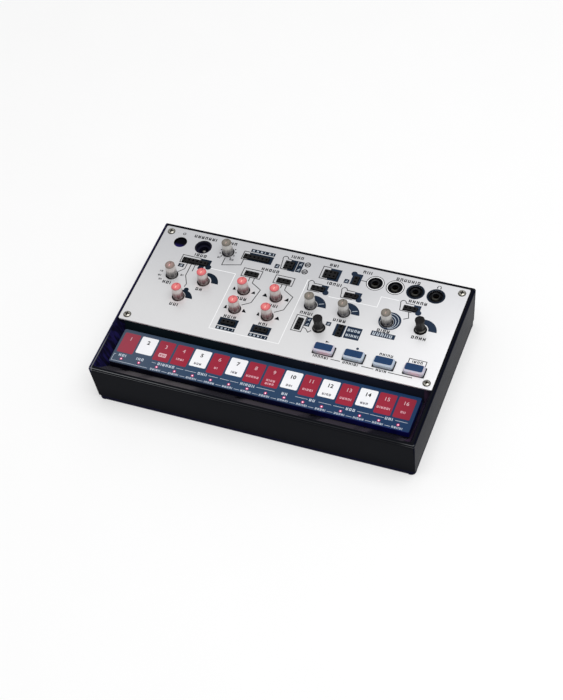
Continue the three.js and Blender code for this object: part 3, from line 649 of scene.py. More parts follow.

# Painted highlights: bright lines along the rim's rounding
FRONT_EDGE = ("y", -55.9, -56.3)
LEFT_EDGE = ("x", -94.8, -95.2)
TO_LEFT = ("x", 20.0, -96.0)
RIGHT_CORNER = ("x", 86.0, 95.0)
TO_FRONT = ("y", 40.0, -50.0)
LOW_LINE = ("z", 28.25, 28.5, 0.12)
HIGH_LINE = ("z", 29.5, 29.75, 0.1)
INNER_LINE = ("x", -94.75, -94.2, 0.1)
INNER_HEIGHT = ("z", 27.5, 28.0)
INNER_FRONT = ("y", -28.0, -42.0)


def smoothing_group():
    """Modifier nodes that shade faces smooth, apart from edges sharper than a limit."""
    group = bpy.data.node_groups.new("smooth_by_angle", "GeometryNodeTree")
    for way in ("INPUT", "OUTPUT"):
        group.interface.new_socket("Geometry", in_out=way, socket_type="NodeSocketGeometry")
    nodes, links = group.nodes, group.links
    start, end = nodes.new("NodeGroupInput"), nodes.new("NodeGroupOutput")
    faces, edges = (nodes.new("GeometryNodeSetShadeSmooth") for _ in range(2))
    edges.domain = "EDGE"
    angle = nodes.new("GeometryNodeInputMeshEdgeAngle")
    sharp = nodes.new("FunctionNodeCompare")
    sharp.operation = "GREATER_THAN"
    sharp.inputs[1].default_value = math.radians(SHARP_ANGLE)
    edges.inputs["Shade Smooth"].default_value = False
    links.new(start.outputs[0], faces.inputs["Geometry"])
    links.new(faces.outputs[0], edges.inputs["Geometry"])
    links.new(angle.outputs["Unsigned Angle"], sharp.inputs[0])
    links.new(sharp.outputs[0], edges.inputs["Selection"])
    links.new(edges.outputs[0], end.inputs[0])
    return group


smooth_by_angle = smoothing_group()


def dress(start, paint):
    """The frame's nodes whose names start so, shown as they are in a material, curved faces smooth."""
    for node in named(start):
        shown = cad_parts[node]
        shown.data.materials.clear()
        shown.data.materials.append(paint.material)
        weld = shown.modifiers.new("weld", "WELD")
        weld.merge_threshold = WELD_DISTANCE * MM
        smoothed = shown.modifiers.new("smooth", "NODES")
        smoothed.node_group = smooth_by_angle
        even_normals(shown)


def painted_edge_highlights(paint):
    """Layers of painted highlights: fine bright lines where the rim's rounding starts and ends, strongest
    at the left.
    """
    fading = paint.math("ADD", 0.1, paint.share(TO_LEFT, 0.7))
    fading = paint.math("ADD", fading, paint.share(RIGHT_CORNER, 0.4))
    lines = [
        (FRONT_EDGE, fading, LOW_LINE),
        (FRONT_EDGE, fading, HIGH_LINE),
        (LEFT_EDGE, TO_FRONT, 0.5, HIGH_LINE),
        (INNER_HEIGHT, INNER_LINE, INNER_FRONT, 0.6),
    ]
    return [((132, 134, 136), *terms) for terms in lines]


def smoke_paint():
    """Near-black clear plastic, hazy down the well's front slope, with painted shade on its right wall and
    painted highlights along its edges.
    """
    paint = Paint("smoked_plastic", (17, 18, 23), roughness=0.16, specular=SMOKE_SPECULAR)
    faint = paint.blend(HAZE_FADING, (54, 52, 58), (30, 29, 34))
    strong = paint.blend(HAZE_FADING, (92, 88, 91), (62, 57, 64))
    patches = (paint.noise(16.0, 1.0, (1, 0.1, 0.1)), 0.42, 0.58)
    boss_bands = [("x", x - BOSS_HALF, x + BOSS_HALF, 1.0) for x in BOSS_XS]
    bosses = [((12, 11, 14), band, BOSS_DEPTH) for band in boss_bands]
    haze = paint.over(paint.blend(patches, faint, strong), *bosses)
    stripes = (paint.noise(1.6, 2.0, (0.2, 1, 0.2)), 0.4, 0.62)
    streaks = paint.blend(stripes, (16, 15, 33), (30, 27, 72))
    violet = paint.blend(VIOLET_FADING, (58, 43, 62), (26, 25, 36))
    navy = paint.blend(NAVY_PALING, (17, 27, 32), (28, 32, 45))
    colour = paint.over(
        paint.clouds(18.0, (17, 18, 22), (22, 23, 28)),
        ((32, 33, 36), FRONT_WALL, UNDER_RIM, 0.6),
        # painted shade: the right wall darker and bluer
        ((10, 13, 26), SHADED_RIGHT_WALL),
        (haze, ACROSS_WELL, FRONT_SLOPE),
        (streaks, LEFT_SLOPE, ALONG_WELL),
        (violet, RIGHT_SLOPE, ALONG_WELL),
        (navy, ACROSS_WELL, BACK_SLOPE, BELOW_DECK),
        ((24, 22, 66), LEFT_RIM, RIM_HEIGHT),
        # painted highlights along the rim's rounding
        *painted_edge_highlights(paint),
    )
    paint.finish(colour, grain=(0.7, 0.002))
    rough = paint.math("ADD", paint.uneven(7.0, 4.0, 0.1, 0.24), paint.share(BACK_WALL, 0.8))
    paint.set("Roughness", rough)
    return paint


def base_paint():
    paint = Paint("deep_blue_plastic", (16, 17, 36), roughness=0.25, specular=SMOKE_SPECULAR)
    colour = paint.clouds(12.0, (14, 15, 30), (19, 20, 46))
    return paint.finish(colour, gloss=(5.0, 4.0, 0.2, 0.4), grain=(0.5, 0.003))


base = base_paint()
dress("top_case", smoke_paint())
dress("bottom_case", base)
dress("battery_cover", base)

# Feet, and what is inside
BOARD_THICKNESS = 1.6
PARTS_SOFT = 0.02


def board_paint(name, node):
    """Green board with faint tracks, and grey parts above it."""
    paint = Paint(name, (24, 74, 50), roughness=0.4)
    level = bottom(node) + BOARD_THICKNESS
    tracks = paint.term((paint.noise(3.0, 0.0, (0.15, 1, 1)), 0.5, 0.56))
    green = paint.blend(tracks, (20, 66, 45), (34, 92, 62))
    grey = paint.clouds(4.0, (40, 41, 44), (70, 71, 74))
    paint.bump(tracks, 0.02)
    return paint.finish(paint.blend(("z", level - PARTS_SOFT, level + PARTS_SOFT), green, grey))


dress("foot_", plastic("rubber_foot", (38, 38, 38), (48, 48, 47), (0.4, 0.02), roughness=0.85))
dress("flat_cable", plastic("cable_white", (222, 222, 216), (232, 232, 228), (0.6, 0.01), roughness=0.5))
dress("speaker", plastic("speaker_black", (46, 47, 50), (62, 62, 64), (1.2, 0.03), roughness=0.6))
dress("power_switch", plastic("switch_black", (30, 30, 32), (38, 38, 40), (0.5, 0.01), roughness=0.45))
dress("battery_contacts_", metal("nickel", (196, 194, 188), (220, 218, 212), 1.5, 0.2, 0.4))
dress("board_screw_", metal("polished_screw", (150, 147, 134), (206, 204, 192), 1.0, 0.12, 0.3))
dress("main_board", board_paint("main_board_green", "main_board"))
dress("keyboard_board", board_paint("key_board_green", "keyboard_board"))

# Touch strip: a clear blue cover with red (R) and white (W) keys printed on it
KEY_COLOURS = "RWRRWRWRRWRWRWRR"
KEY_SPACING = 11.03
KEY_ROW_CENTRE = -0.4
KEY_WIDTHS = {"R": 9.75, "W": 10.05}
KEY_REACH = {"R": (2.25, 16.45), "W": (2.35, 14.45)}
KEY_RADIUS = 0.8
NUMBER_FROM_BACK = 6.15
NUMBER_SIZE = 3.5
NUMBER_BOLDNESS = {"R": 0.0, "W": 0.1}
WORD_FROM_BACK = 12.15
WORD_HEIGHT = 1.45
KEY_WORD_WIDTHS = {
    4: 4.8, 5: 4.9, 6: 2.4, 7: 4.0, 8: 7.7, 9: 5.6,
    10: 4.1, 11: 6.5, 12: 5.5, 13: 6.9, 14: 5.0, 15: 8.0, 16: 2.9,
}
TWO_LINE_KEY = 9
TWO_LINE_DROPS = (-0.2, 2.1)
BOXED_KEY = 3
BOXED_SIZE = (4.6, 2.6)
BOXED_CORNER = 0.3
BOXED_MARGIN = 0.5
LABEL_FROM_BACK = 18.35
LABEL_HEIGHT = 1.8
STRIP_LABELS = [
    (-85.1, -80.7), (-74.2, -69.5), (-61.0, -50.2), (-36.3, -30.7), (-10.5, -1.7),
    (14.2, 18.0), (30.5, 34.8), (51.9, 57.7), (74.5, 79.3),
]
STRIP_DASHES = [
    (-64.7, -62.0), (-49.6, -45.2), (-44.2, -37.4), (-29.7, -24.2), (-22.8, -17.4),
    (-16.7, -11.7), (-0.8, 10.0), (22.3, 29.6), (36.0, 43.4), (44.6, 51.0),
    (58.6, 65.2), (65.8, 73.7), (80.3, 87.3),
]
STRIP_LINE = 0.26
BRACKET_START = -87.3
BRACKET_EDGE_GAP = 0.9
BRACKET_END = -66.0
LOWER_FROM_BACK = 22.95
LOWER_MARK_HALF = 3.1
LOWER_MARK_LIFT = 0.1
LOWER_MARK_HEIGHT = 1.3
LOWER_LINE_GAP = 3.9
LAMP_FROM_BACK = 20.85
LAMP_HALO = 0.85
LAMP_CORE = 0.34

# Tones of the strip
STRIP_START = ("x", -95.0, -20.0)
STRIP_END = ("x", -20.0, 96.0)
GLASS_GLOW = ("x", -40.0, 95.0)
KEYS_PALE = ("x", -40.0, -100.0)
KEYS_DEEP = ("x", 70.0, 94.0)
BLOCKS_PALE = ("x", -60.0, 90.0)
LOW_STRETCH = (1, 1, 0.2)

strip_x = half_size("touch_strip")[0]
strip_front, strip_back = (corner.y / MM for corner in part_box("touch_strip"))


def strip_paint():
    paint = Paint("blue_cover", (48, 78, 112), roughness=0.2, specular=0.12)
    blue = paint.over(
        paint.blend(STRIP_START, (75, 87, 103), (44, 68, 96)),
        ((26, 53, 89), STRIP_END),
        ((32, 52, 90), paint.noise(6.0), 0.2),
    )
    front = paint.share(("y", strip_front + 0.5, strip_front + 0.1), 0.7)
    walls = paint.term(("z", STRIP_TOP - 0.15, STRIP_TOP - 0.6))
    sides = paint.math("MAXIMUM", walls, front)
    shade = paint.blend(paint.noise(9.0, 1.0, LOW_STRETCH), (9, 10, 24), (16, 17, 44))
    glow = paint.blend(paint.noise(5.0, 1.0, LOW_STRETCH), (14, 14, 72), (26, 28, 124))
    glass = paint.blend(GLASS_GLOW, shade, glow)
    return paint.finish(paint.blend(sides, blue, glass), gloss=(4.0, 3.0, 0.14, 0.26))


def red_key_paint():
    paint = Paint("key_red", (156, 42, 62), roughness=0.25, specular=0.12)
    clouds = paint.clouds(5.0, (146, 36, 56), (156, 42, 62))
    return paint.finish(paint.over(clouds, ((150, 64, 79), KEYS_PALE), ((136, 36, 54), KEYS_DEEP)))


def white_key_paint():
    paint = Paint("key_white", (240, 240, 243), roughness=0.25, specular=0.12)
    return paint.finish(paint.clouds(5.0, (236, 236, 240), (244, 244, 246)))


def lamp_paint(name, colour, glow, glow_colour, patch, *clouds):
    paint = Paint(name, colour, roughness=0.3, glow=glow)
    paint.set("Emission Color", rgb(glow_colour))
    return paint.finish(paint.clouds(patch, *clouds))


def block_paint():
    """The dark blue of the deck's blocks, paler toward the right."""
    paint = Paint("print_blue", (28, 42, 64), roughness=0.45, specular=0.03)
    clouds = paint.clouds(INK_CLOUD, (17, 28, 40), (23, 35, 49))
    return paint.finish(paint.over(clouds, ((41, 54, 74), BLOCKS_PALE, 0.85)))


print_blue = block_paint()
line_ink = ink_paint("print_line", (8, 9, 15), (13, 14, 22))
ring_ink = ink_paint("print_ring", (18, 28, 40), (25, 36, 50))
deck_white = ink_paint("print_white", (178, 187, 198), (194, 202, 211))
pale_line = ink_paint("print_pale", (236, 237, 238), (243, 243, 245))
strip_white = ink_paint("strip_white", (180, 190, 204), (198, 206, 218))
key_ink = ink_paint("key_ink", (214, 176, 184), (226, 192, 198))
soft_pink = ink_paint("soft_pink", (212, 158, 170), (222, 174, 184))
soft_grey = ink_paint("soft_grey", (52, 50, 64), (64, 62, 76))


def key_x(k):
    return KEY_ROW_CENTRE + (k - (len(KEY_COLOURS) - 1) / 2) * KEY_SPACING


def add_number(bm, k, level):
    """The number of a key, standing on a level."""
    curve = bpy.data.curves.new("number", "FONT")
    curve.body = str(k + 1)
    curve.size = NUMBER_SIZE
    curve.align_x = "CENTER"
    curve.align_y = "CENTER"
    curve.extrude = KEY_LIFT
    curve.offset = NUMBER_BOLDNESS[KEY_COLOURS[k]]
    holder = bpy.data.objects.new("number", curve)
    mesh = bpy.data.meshes.new_from_object(holder)
    bpy.data.objects.remove(holder)
    place = Vector((key_x(k), strip_back - NUMBER_FROM_BACK, level)) * MM
    mesh.transform(Matrix.Translation(place) @ Matrix.Scale(MM, 4))
    bm.from_mesh(mesh)


def key_word(words, k, y):
    """The bars on one key, which stand for its word; the first three keys have none here."""
    half = KEY_WORD_WIDTHS.get(k + 1, 0.0) / 2
    drops = TWO_LINE_DROPS if k + 1 == TWO_LINE_KEY else (0.0,)
    for drop in drops:
        words.marks(key_x(k) - half, key_x(k) + half, y - drop, WORD_HEIGHT)


def printed_keys():
    keys = {kind: Print(STRIP_TOP, KEY_LIFT) for kind in "RW"}
    words = {kind: Print(STRIP_TOP, INK_LIFT) for kind in "RW"}
    numbers = {kind: Print(STRIP_TOP, INK_LIFT) for kind in "RW"}
    boxed = Print(STRIP_TOP, INK_LIFT + KEY_LIFT)
    y = strip_back - WORD_FROM_BACK
    for k, kind in enumerate(KEY_COLOURS):
        x, half = key_x(k), KEY_WIDTHS[kind] / 2
        near, far = (strip_back - reach for reach in KEY_REACH[kind])
        keys[kind].box(x - half, x + half, far, near, KEY_RADIUS)
        add_number(numbers[kind].bm, k, STRIP_TOP + KEY_LIFT)
        key_word(words[kind], k, y)
        if k + 1 == BOXED_KEY:
            x0, x1, y0, y1 = around(x, y, *(side / 2 for side in BOXED_SIZE))
            numbers[kind].box(x0, x1, y0, y1, BOXED_CORNER)
            boxed.marks(x0 + BOXED_MARGIN, x1 - BOXED_MARGIN, y, WORD_HEIGHT)
    red = red_key_paint()
    keys["R"].piece("red_keys", red, "case", "strip")
    keys["W"].piece("white_keys", white_key_paint(), "case", "strip")
    boxed.piece("boxed_marks", red, "case", "strip")
    words["R"].piece("words_on_red", soft_pink, "case", "strip")
    words["W"].piece("words_on_white", soft_grey, "case", "strip")
    numbers["R"].piece("numbers_on_red", key_ink, "case", "strip")
    numbers["W"].piece("numbers_on_white", line_ink, "case", "strip")


def strip_legend():
    ink = Print(STRIP_TOP, KEY_LIFT)
    y = strip_back - LABEL_FROM_BACK
    low = strip_back - LOWER_FROM_BACK
    for x0, x1 in STRIP_LABELS:
        ink.marks(x0 + KEY_ROW_CENTRE, x1 + KEY_ROW_CENTRE, y, LABEL_HEIGHT)
    for x0, x1 in STRIP_DASHES:
        ink.line([(x0 + KEY_ROW_CENTRE, y), (x1 + KEY_ROW_CENTRE, y)], STRIP_LINE)
    left = BRACKET_EDGE_GAP - strip_x
    ink.line([(BRACKET_START, y), (left, y), (left, low), (BRACKET_END, low)], STRIP_LINE)
    for k in range(2, len(KEY_COLOURS)):
        x = key_x(k)
        level = low + LOWER_MARK_LIFT
        ink.marks(x - LOWER_MARK_HALF, x + LOWER_MARK_HALF, level, LOWER_MARK_HEIGHT)
        if k + 1 < len(KEY_COLOURS):
            ends = x + LOWER_LINE_GAP, x + KEY_SPACING - LOWER_LINE_GAP
            ink.line([(end, low) for end in ends], STRIP_LINE)
    ink.piece("strip_legend", strip_white, "case", "strip")


def strip_lamps():
    halos, cores = Print(STRIP_TOP, KEY_LIFT), Print(STRIP_TOP, INK_LIFT)
    for k in range(len(KEY_COLOURS)):
        place = key_x(k), strip_back - LAMP_FROM_BACK
        halos.disc(*place, LAMP_HALO)
        cores.disc(*place, LAMP_CORE)
    clouds = (176, 38, 86), (198, 62, 112)
    halo = lamp_paint("lamp_halo", (186, 46, 96), 0.2, (200, 50, 120), 0.8, *clouds)
    clouds = (255, 214, 228), (255, 238, 244)
    core = lamp_paint("lamp_core", (255, 216, 230), 0.6, (255, 226, 236), 0.4, *clouds)
    halos.piece("lamp_halos", halo, "case", "strip")
    cores.piece("lamp_cores", core, "case", "strip")


dress("touch_strip", strip_paint())
printed_keys()
strip_legend()
strip_lamps()

# Knobs: profiles are radii and heights above the deck, from the axis at the foot
KNOB_HEIGHT = 9.0
KNOB_TOP_RADIUS = 2.85
KNOB_EDGE = 0.4
KNOB_ROOT = [(0.0, -6.8), (1.5, -6.8), (1.5, -2.8), (3.15, -2.8)]
KNOB_WAIST = (3.15, 2.4)
COLLAR = [(3.15, 1.6), (3.03, 1.83), (2.85, 1.95), (2.41, 2.1), (0.0, 2.1)]
POINTER_WIDTH = 0.6
POINTER_DEPTH = 0.35
POINTER_REACH = (0.3, 4.15)
OVERRUN = 1.0
FLUTE_COUNT = 18
FLUTE_DEPTH = 0.24
FLUTE_STEPS = 8
FLUTED_SHAPE = [(2.75, 2.0), (2.45, 3.6), (2.5, 5.8)]
KNOB_KINDS = [
    ("sand", "sand", "pitch cutoff_left cutoff_right amount"),
    ("warm", "sand", "ratio"),
    ("rose", "rose", "mod fold attack release shape time"),
    ("black", "black", "tempo volume"),
]

# Tones of the clear knobs, each for sand, warm and rose
CLEAR_KINDS = ("sand", "warm", "rose")
CLEAR_TONES = {
    "foot": [(32, 30, 42), (32, 30, 36), (62, 17, 24)],
    "waist": [(116, 113, 110), (116, 113, 110), (124, 78, 82)],
    "shoulder": [(208, 206, 202), (214, 208, 205), (216, 206, 203)],
    "rim": [(104, 98, 90), (128, 110, 103), (206, 92, 97)],
    "crown": [(130, 123, 113), (156, 130, 125), (228, 126, 125)],
    # painted highlight along the pointer groove
    "painted_highlight": [(186, 160, 152), (246, 178, 176), (255, 208, 192)],
}
RIM_DARKENING = 0.8
RING_HEIGHTS = (2.5, 4.7)
RING_HALF = 0.1
# Painted shade: up the side, the knob goes from dark at the foot to pale at the shoulder
WAIST_HEIGHT = ("z", 1.4, 3.8)
SHOULDER_HEIGHT = ("z", 3.4, 6.4)
# Painted shade on the left side of the foot
SHADED_SIDE = ("x", 0.5, -3.0)
SHADED_HEIGHT = ("z", 4.6, 1.6)
# Where the top pales toward its middle: its own tone with a painted highlight
CROWN_REACH = (2.6, 1.2)
# Where the pointer's painted highlight lies
HIGHLIGHT_ACROSS = ("x", -0.22, 0.22, 0.2)
HIGHLIGHT_ALONG = ("y", -1.3, 1.0, 0.5)
KNOB_FACE = ("z", KNOB_HEIGHT - 0.6, KNOB_HEIGHT - 0.3)
KNOB_RIM_BAND = ("z", KNOB_HEIGHT - 0.7, KNOB_HEIGHT - 0.3, 0.12)

# Tones of the black knobs
BELOW_RIM = ("z", 8.6, 7.6)
ABOVE_COLLAR = ("z", 2.0, 3.0)
COLLAR_BAND = ("z", 0.9, 1.7, 0.25)
COLLAR_FRONT = ("y", 0.5, -2.0)


def knob_rim():
    """Radius and height round the top edge, from the side up."""
    for across, up in QUARTER_ROUND:
        yield KNOB_TOP_RADIUS - KNOB_EDGE * (1 - across), KNOB_HEIGHT - KNOB_EDGE + KNOB_EDGE * up


def plain_knob():
    bm = bmesh.new()
    turn(bm, [*KNOB_ROOT, KNOB_WAIST, *knob_rim(), (0.0, KNOB_HEIGHT)])
    return with_pointer(bm)


def fluted_outline(radius, depth):
    count = FLUTE_COUNT * FLUTE_STEPS
    points = []
    for k in range(count):
        angle = 2 * math.pi * k / count
        wave = abs(math.cos(FLUTE_COUNT * angle / 2))
        reach = radius - depth * (1 - wave)
        points.append((reach * math.cos(angle), reach * math.sin(angle)))
    return points


def fluted_knob():
    bm = bmesh.new()
    layers = [(fluted_outline(radius, FLUTE_DEPTH), z) for radius, z in FLUTED_SHAPE]
    for k, (radius, z) in enumerate(knob_rim()):
        layers.append((fluted_outline(radius, FLUTE_DEPTH * (1 - k / ROUND_STEPS)), z))
    loft(bm, layers)
    bm = with_pointer(bm)
    turn(bm, [*KNOB_ROOT, *COLLAR])
    return bm


def with_pointer(bm):
    """The knob less the groove that points along its own y."""
    cutter = bmesh.new()
    half = POINTER_WIDTH / 2
    block(cutter, -half, half, *POINTER_REACH, KNOB_HEIGHT - POINTER_DEPTH, KNOB_HEIGHT + OVERRUN)
    return carve(bm, cutter)


def clear_knob_paint(name, foot, waist, shoulder, rim, crown, painted_highlight):
    """Frosted clear plastic: painted shade darkens its side toward the foot, where it sinks into the deck,
    and on the left of the foot; the side is pale below its top, with painted glints, and the top has a
    painted highlight.
    """
    paint = Paint(name, crown, roughness=0.28, specular=0.4, coat=0.1)
    # Pale mottles: the frosted grain, with painted glints in it
    mottles = (paint.noise(1.0, 2.0, (1, 1, 0.6)), 0.42, 0.62)
    rings = [(foot, ("z", z - RING_HALF, z + RING_HALF, 0.12), 0.4) for z in RING_HEIGHTS]
    side = paint.over(
        # darker toward the foot: painted shade
        paint.blend(WAIST_HEIGHT, foot, waist),
        (shoulder, SHOULDER_HEIGHT),
        ((232, 228, 224), mottles, 0.22),
        *rings,
        # painted shade on the left of the foot
        ((22, 20, 28), SHADED_SIDE, SHADED_HEIGHT, 0.7),
    )
    face = paint.over(
        # the top lighter toward its middle: its own tone, with a painted highlight
        paint.blend((paint.reach(), *CROWN_REACH), rim, crown),
        (rim, paint.noise(1.0), 0.4),
        # painted highlight along the pointer
        (painted_highlight, HIGHLIGHT_ACROSS, HIGHLIGHT_ALONG),
    )
    dark_rim = [v * RIM_DARKENING for v in rim]
    colour = paint.over(side, (face, KNOB_FACE), (dark_rim, KNOB_RIM_BAND, 0.7))
    return paint.finish(colour, gloss=(1.2, 3.0, 0.2, 0.36), grain=(0.35, 0.004))


def black_knob_paint():
    """Glossy black, with a painted glint on the collar and pale streaks down the flutes as painted
    reflections.
    """
    paint = Paint("black_knob", (22, 21, 23), roughness=0.3, specular=0.12)
    streaks = (paint.noise(1.6, 1.0, (1, 1, 0.05)), 0.48, 0.66)
    glints = (paint.noise(1.8), 0.42, 0.6)
    colour = paint.over(
        paint.clouds(PLASTIC_CLOUD, (18, 17, 19), (26, 25, 26)),
        # painted reflections: pale streaks down the flutes
        ((74, 73, 72), streaks, BELOW_RIM, ABOVE_COLLAR, 0.6),
        # a painted glint on the collar's front
        ((128, 126, 122), COLLAR_BAND, COLLAR_FRONT, glints),
    )
    return paint.finish(colour, gloss=(1.2, 3.0, 0.22, 0.4), grain=(0.3, 0.006))


def add_knobs():
    paints = {"black": black_knob_paint()}
    for kind, *tones in zip(CLEAR_KINDS, *CLEAR_TONES.values()):
        paints[kind] = clear_knob_paint(kind + "_knob", **dict(zip(CLEAR_TONES, tones)))
    for kind, slot, names in KNOB_KINDS:
        shape = fluted_knob() if kind == "black" else plain_knob()
        mesh = painted_mesh(kind + "_knob", shape, paints[kind])
        for short in names.split():
            node = "knob_" + short
            piece = place_mesh(short + "_knob", mesh, node, on_deck(node))
            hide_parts(node)


add_knobs()

# Buttons: blocks as width, depth and heights above the deck, print as limits from the middle
BUTTON_RISE = 2.5
BUTTON_EDGE = 0.55
BUTTON_FOOT = -2.3
BUTTON_BLOCKS = [(11.8, 9.0, -2.3, -1.3), (3.2, 3.2, -4.6, -2.3)]
BUTTON_PRINT = (-5.4, 4.85, -1.9, 2.8)
BUTTON_PRINT_CORNER = 0.9
LEAST_CORNER = 0.2
LIT_BUTTONS = ("button_play", "button_function")

# Tones of a button
MILK_HEIGHT = ("z", -0.4, 1.8)
BUTTON_FRONT = ("y", -2.6, -3.2)
LIT_FROM_LEFT = ("x", -4.5, 0.0)
LIT_FROM_RIGHT = ("x", 6.0, 2.4)
# Painted shadow along the foot of the button's right side
RIGHT_SIDE_SHADOW = ("x", BUTTON_SIZE[0] / 2 - 0.5, BUTTON_SIZE[0] / 2 - 0.1)
RIGHT_SIDE_SHADOW_HEIGHT = ("z", 1.5, 0.5)
# Painted shade where the button sinks into its hole
SHADE_IN_HOLE = ("z", 0.35, 0.0)


def milk_paint(name, lit):
    paint = Paint(name, (196, 202, 214), roughness=0.3, specular=0.2, subsurface=0.1)
    # Lit buttons get a painted glow, pinker on the front face
    front_light = ((228, 178, 190), BUTTON_FRONT, LIT_FROM_LEFT, LIT_FROM_RIGHT, 0.75)
    lights = [((196, 178, 194), 0.6), front_light] if lit else []
    colour = paint.over(
        paint.blend(MILK_HEIGHT, (122, 130, 146), (176, 184, 198)),
        *lights,
        # painted shadow at the foot of the right side
        ((18, 19, 26), RIGHT_SIDE_SHADOW, RIGHT_SIDE_SHADOW_HEIGHT),
        # painted shade down in the hole
        ((40, 42, 50), SHADE_IN_HOLE),
        ((204, 206, 214), paint.noise(2.0), 0.2),
    )
    return paint.finish(colour, grain=(0.4, 0.003))


def button_outline(inset):
    dx, dy = (side / 2 - inset for side in BUTTON_SIZE)
    return rounded_rectangle(*around(0.0, 0.0, dx, dy), max(LEAST_CORNER, BUTTON_CORNER - inset))


def add_buttons():
    paints = {lit: milk_paint("milky_lit" if lit else "milky", lit) for lit in (True, False)}
    cap_print = ink_paint("cap_print", (33, 56, 91), (41, 67, 103))
    layers = [(button_outline(0.0), BUTTON_FOOT)]
    for across, up in QUARTER_ROUND:
        outline = button_outline(BUTTON_EDGE * (1 - across))
        layers.append((outline, BUTTON_RISE - BUTTON_EDGE + BUTTON_EDGE * up))
    for node in named("button_"):
        bm = bmesh.new()
        loft(bm, layers)
        for width, depth, low, high in BUTTON_BLOCKS:
            block(bm, *around(0.0, 0.0, width / 2, depth / 2), low, high)
        cap = add_piece(node + "_cap", bm, paints[node in LIT_BUTTONS], node, on_deck(node))
        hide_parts(node)
        ink = Print(DECK + BUTTON_RISE, INK_LIFT)
        ink.box(*box_at(node, *BUTTON_PRINT), BUTTON_PRINT_CORNER)
        ink.piece(node + "_print", cap_print, node, "milk")


add_buttons()

# Panel screws
SCREW_HEAD_RADIUS = 2.35
SCREW_HEAD_HEIGHT = 0.9
SCREW_SHANK = [(0.0, -11.0), (1.4, -11.0), (1.4, 0.0)]
CROSS_HALF_WIDTH = 0.4
CROSS_REACH = 1.6
CROSS_NARROWING = 0.7
CROSS_HEIGHTS = (SCREW_HEAD_HEIGHT - 0.75, SCREW_HEAD_HEIGHT + 0.2)

# Tones of a screw: the darker rim, and the painted shade in the cross inside it
DARKER_RIM = (SCREW_HEAD_RADIUS - 0.75, SCREW_HEAD_RADIUS - 0.15)
INSIDE_RIM = (SCREW_HEAD_RADIUS - 0.5, SCREW_HEAD_RADIUS - 0.8)
# Where the cross is darkened: painted shade
IN_CROSS = ("z", SCREW_HEAD_HEIGHT - 0.2, SCREW_HEAD_HEIGHT - 0.4)


def screw_paint():
    """Bright steel, darker at the rim, with painted shade down in the cross."""
    paint = Paint("deck_screw", (190, 186, 170), metallic=0.9)
    reach = paint.reach()
    colour = paint.over(
        paint.clouds(1.1, (116, 113, 104), (188, 186, 178)),
        ((66, 63, 56), (reach, *DARKER_RIM)),
        # painted shade down in the cross
        ((40, 37, 28), (reach, *INSIDE_RIM), IN_CROSS),
    )
    return paint.finish(colour, gloss=(0.8, 4.0, 0.18, 0.36))


def cross_outline(half, reach):
    arm = [(half, half), (half, reach), (-half, reach)]
    outline = []
    for _ in range(4):
        outline += arm
        arm = [(-y, x) for x, y in arm]
    return outline


def add_screws():
    head = [(SCREW_HEAD_RADIUS * across, SCREW_HEAD_HEIGHT * up) for across, up in QUARTER_ROUND]
    bm = bmesh.new()
    turn(bm, [*SCREW_SHANK, *head[:-1], (0.0, SCREW_HEAD_HEIGHT)])
    rim = cross_outline(CROSS_HALF_WIDTH, CROSS_REACH)
    floor = [(x * CROSS_NARROWING, y * CROSS_NARROWING) for x, y in rim]
    cross = bmesh.new()
    loft(cross, list(zip((floor, rim), CROSS_HEIGHTS)))
    mesh = painted_mesh("deck_screw", carve(bm, cross), screw_paint())
    for node in named("panel_screw_"):
        name = node.replace("panel_screw", "deck_screw")
        piece = place_mesh(name, mesh, "case", on_deck(node))
        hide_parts(node)


add_screws()

# Jacks, power inlet and power button, with profiles as the knobs have
JACK_PROFILE = [
    (0.0, -10.0), (4.25, -10.0), (4.25, -0.4), (4.1, -0.15), (3.85, -0.15), (3.65, -1.2), (3.05, -1.4),
    (2.75, -1.2), (2.7, 0.15), (2.4, 0.5), (2.15, 0.45), (1.8, 0.05), (1.8, -9.0), (0.0, -9.0),
]
JACK_BODY = (9.6, 11.6, -10.0, -1.3)
SPRING_RADII = (1.78, 1.58)
SPRING_HEIGHTS = (-4.0, -1.75)
INLET_PROFILE = [
    (0.0, -10.0), (4.85, -10.0), (4.85, -0.45), (4.7, -0.3), (4.3, -0.3), (4.15, -0.45),
    (4.15, -2.8), (3.1, -2.8), (2.9, -3.0), (2.9, -8.8), (0.0, -8.8),
]
INLET_BODY = (10.6, 12.0, -10.0, -4.6)
PIN_PROFILE = [(0.0, -8.8), (1.0, -8.8), (1.0, -4.0), (0.85, -3.7), (0.55, -3.6), (0.0, -3.6)]
POWER_PROFILE = [
    (0.0, -7.0), (1.5, -7.0), (1.5, -2.6), (3.6, -2.6), (3.6, -1.4), (3.48, -1.12),
    (3.2, -1.0), (2.7, -1.08), (1.44, -1.25), (0.0, -1.28),
]
BODY_EDGE = 0.1

# Tones of the jacks and the power button
NOSE_REACH = (1.9, 2.9, 0.1)
NOSE_HEIGHT = ("z", -1.0, 0.2)
# The front of the nose, where a highlight is painted
NOSE_FRONT = ("y", -1.4, -2.4)
# The front of the power button, where a blue glint is painted
POWER_FRONT = ("y", 0.2, -3.4)


def jack_paint():
    """Blue-black, with a greyer nose, and on the nose's front a painted highlight."""
    paint = Paint("jack_black", (13, 14, 19), roughness=0.28, specular=0.1)
    nose = paint.share((paint.reach(), *NOSE_REACH), NOSE_HEIGHT)
    clouds = paint.clouds(0.8, (9, 11, 16), (14, 16, 22))
    # the lighter front of the nose is a painted highlight
    layers = [((26, 27, 28), nose), ((84, 83, 77), nose, NOSE_FRONT, 0.8)]
    return paint.finish(paint.over(clouds, *layers))


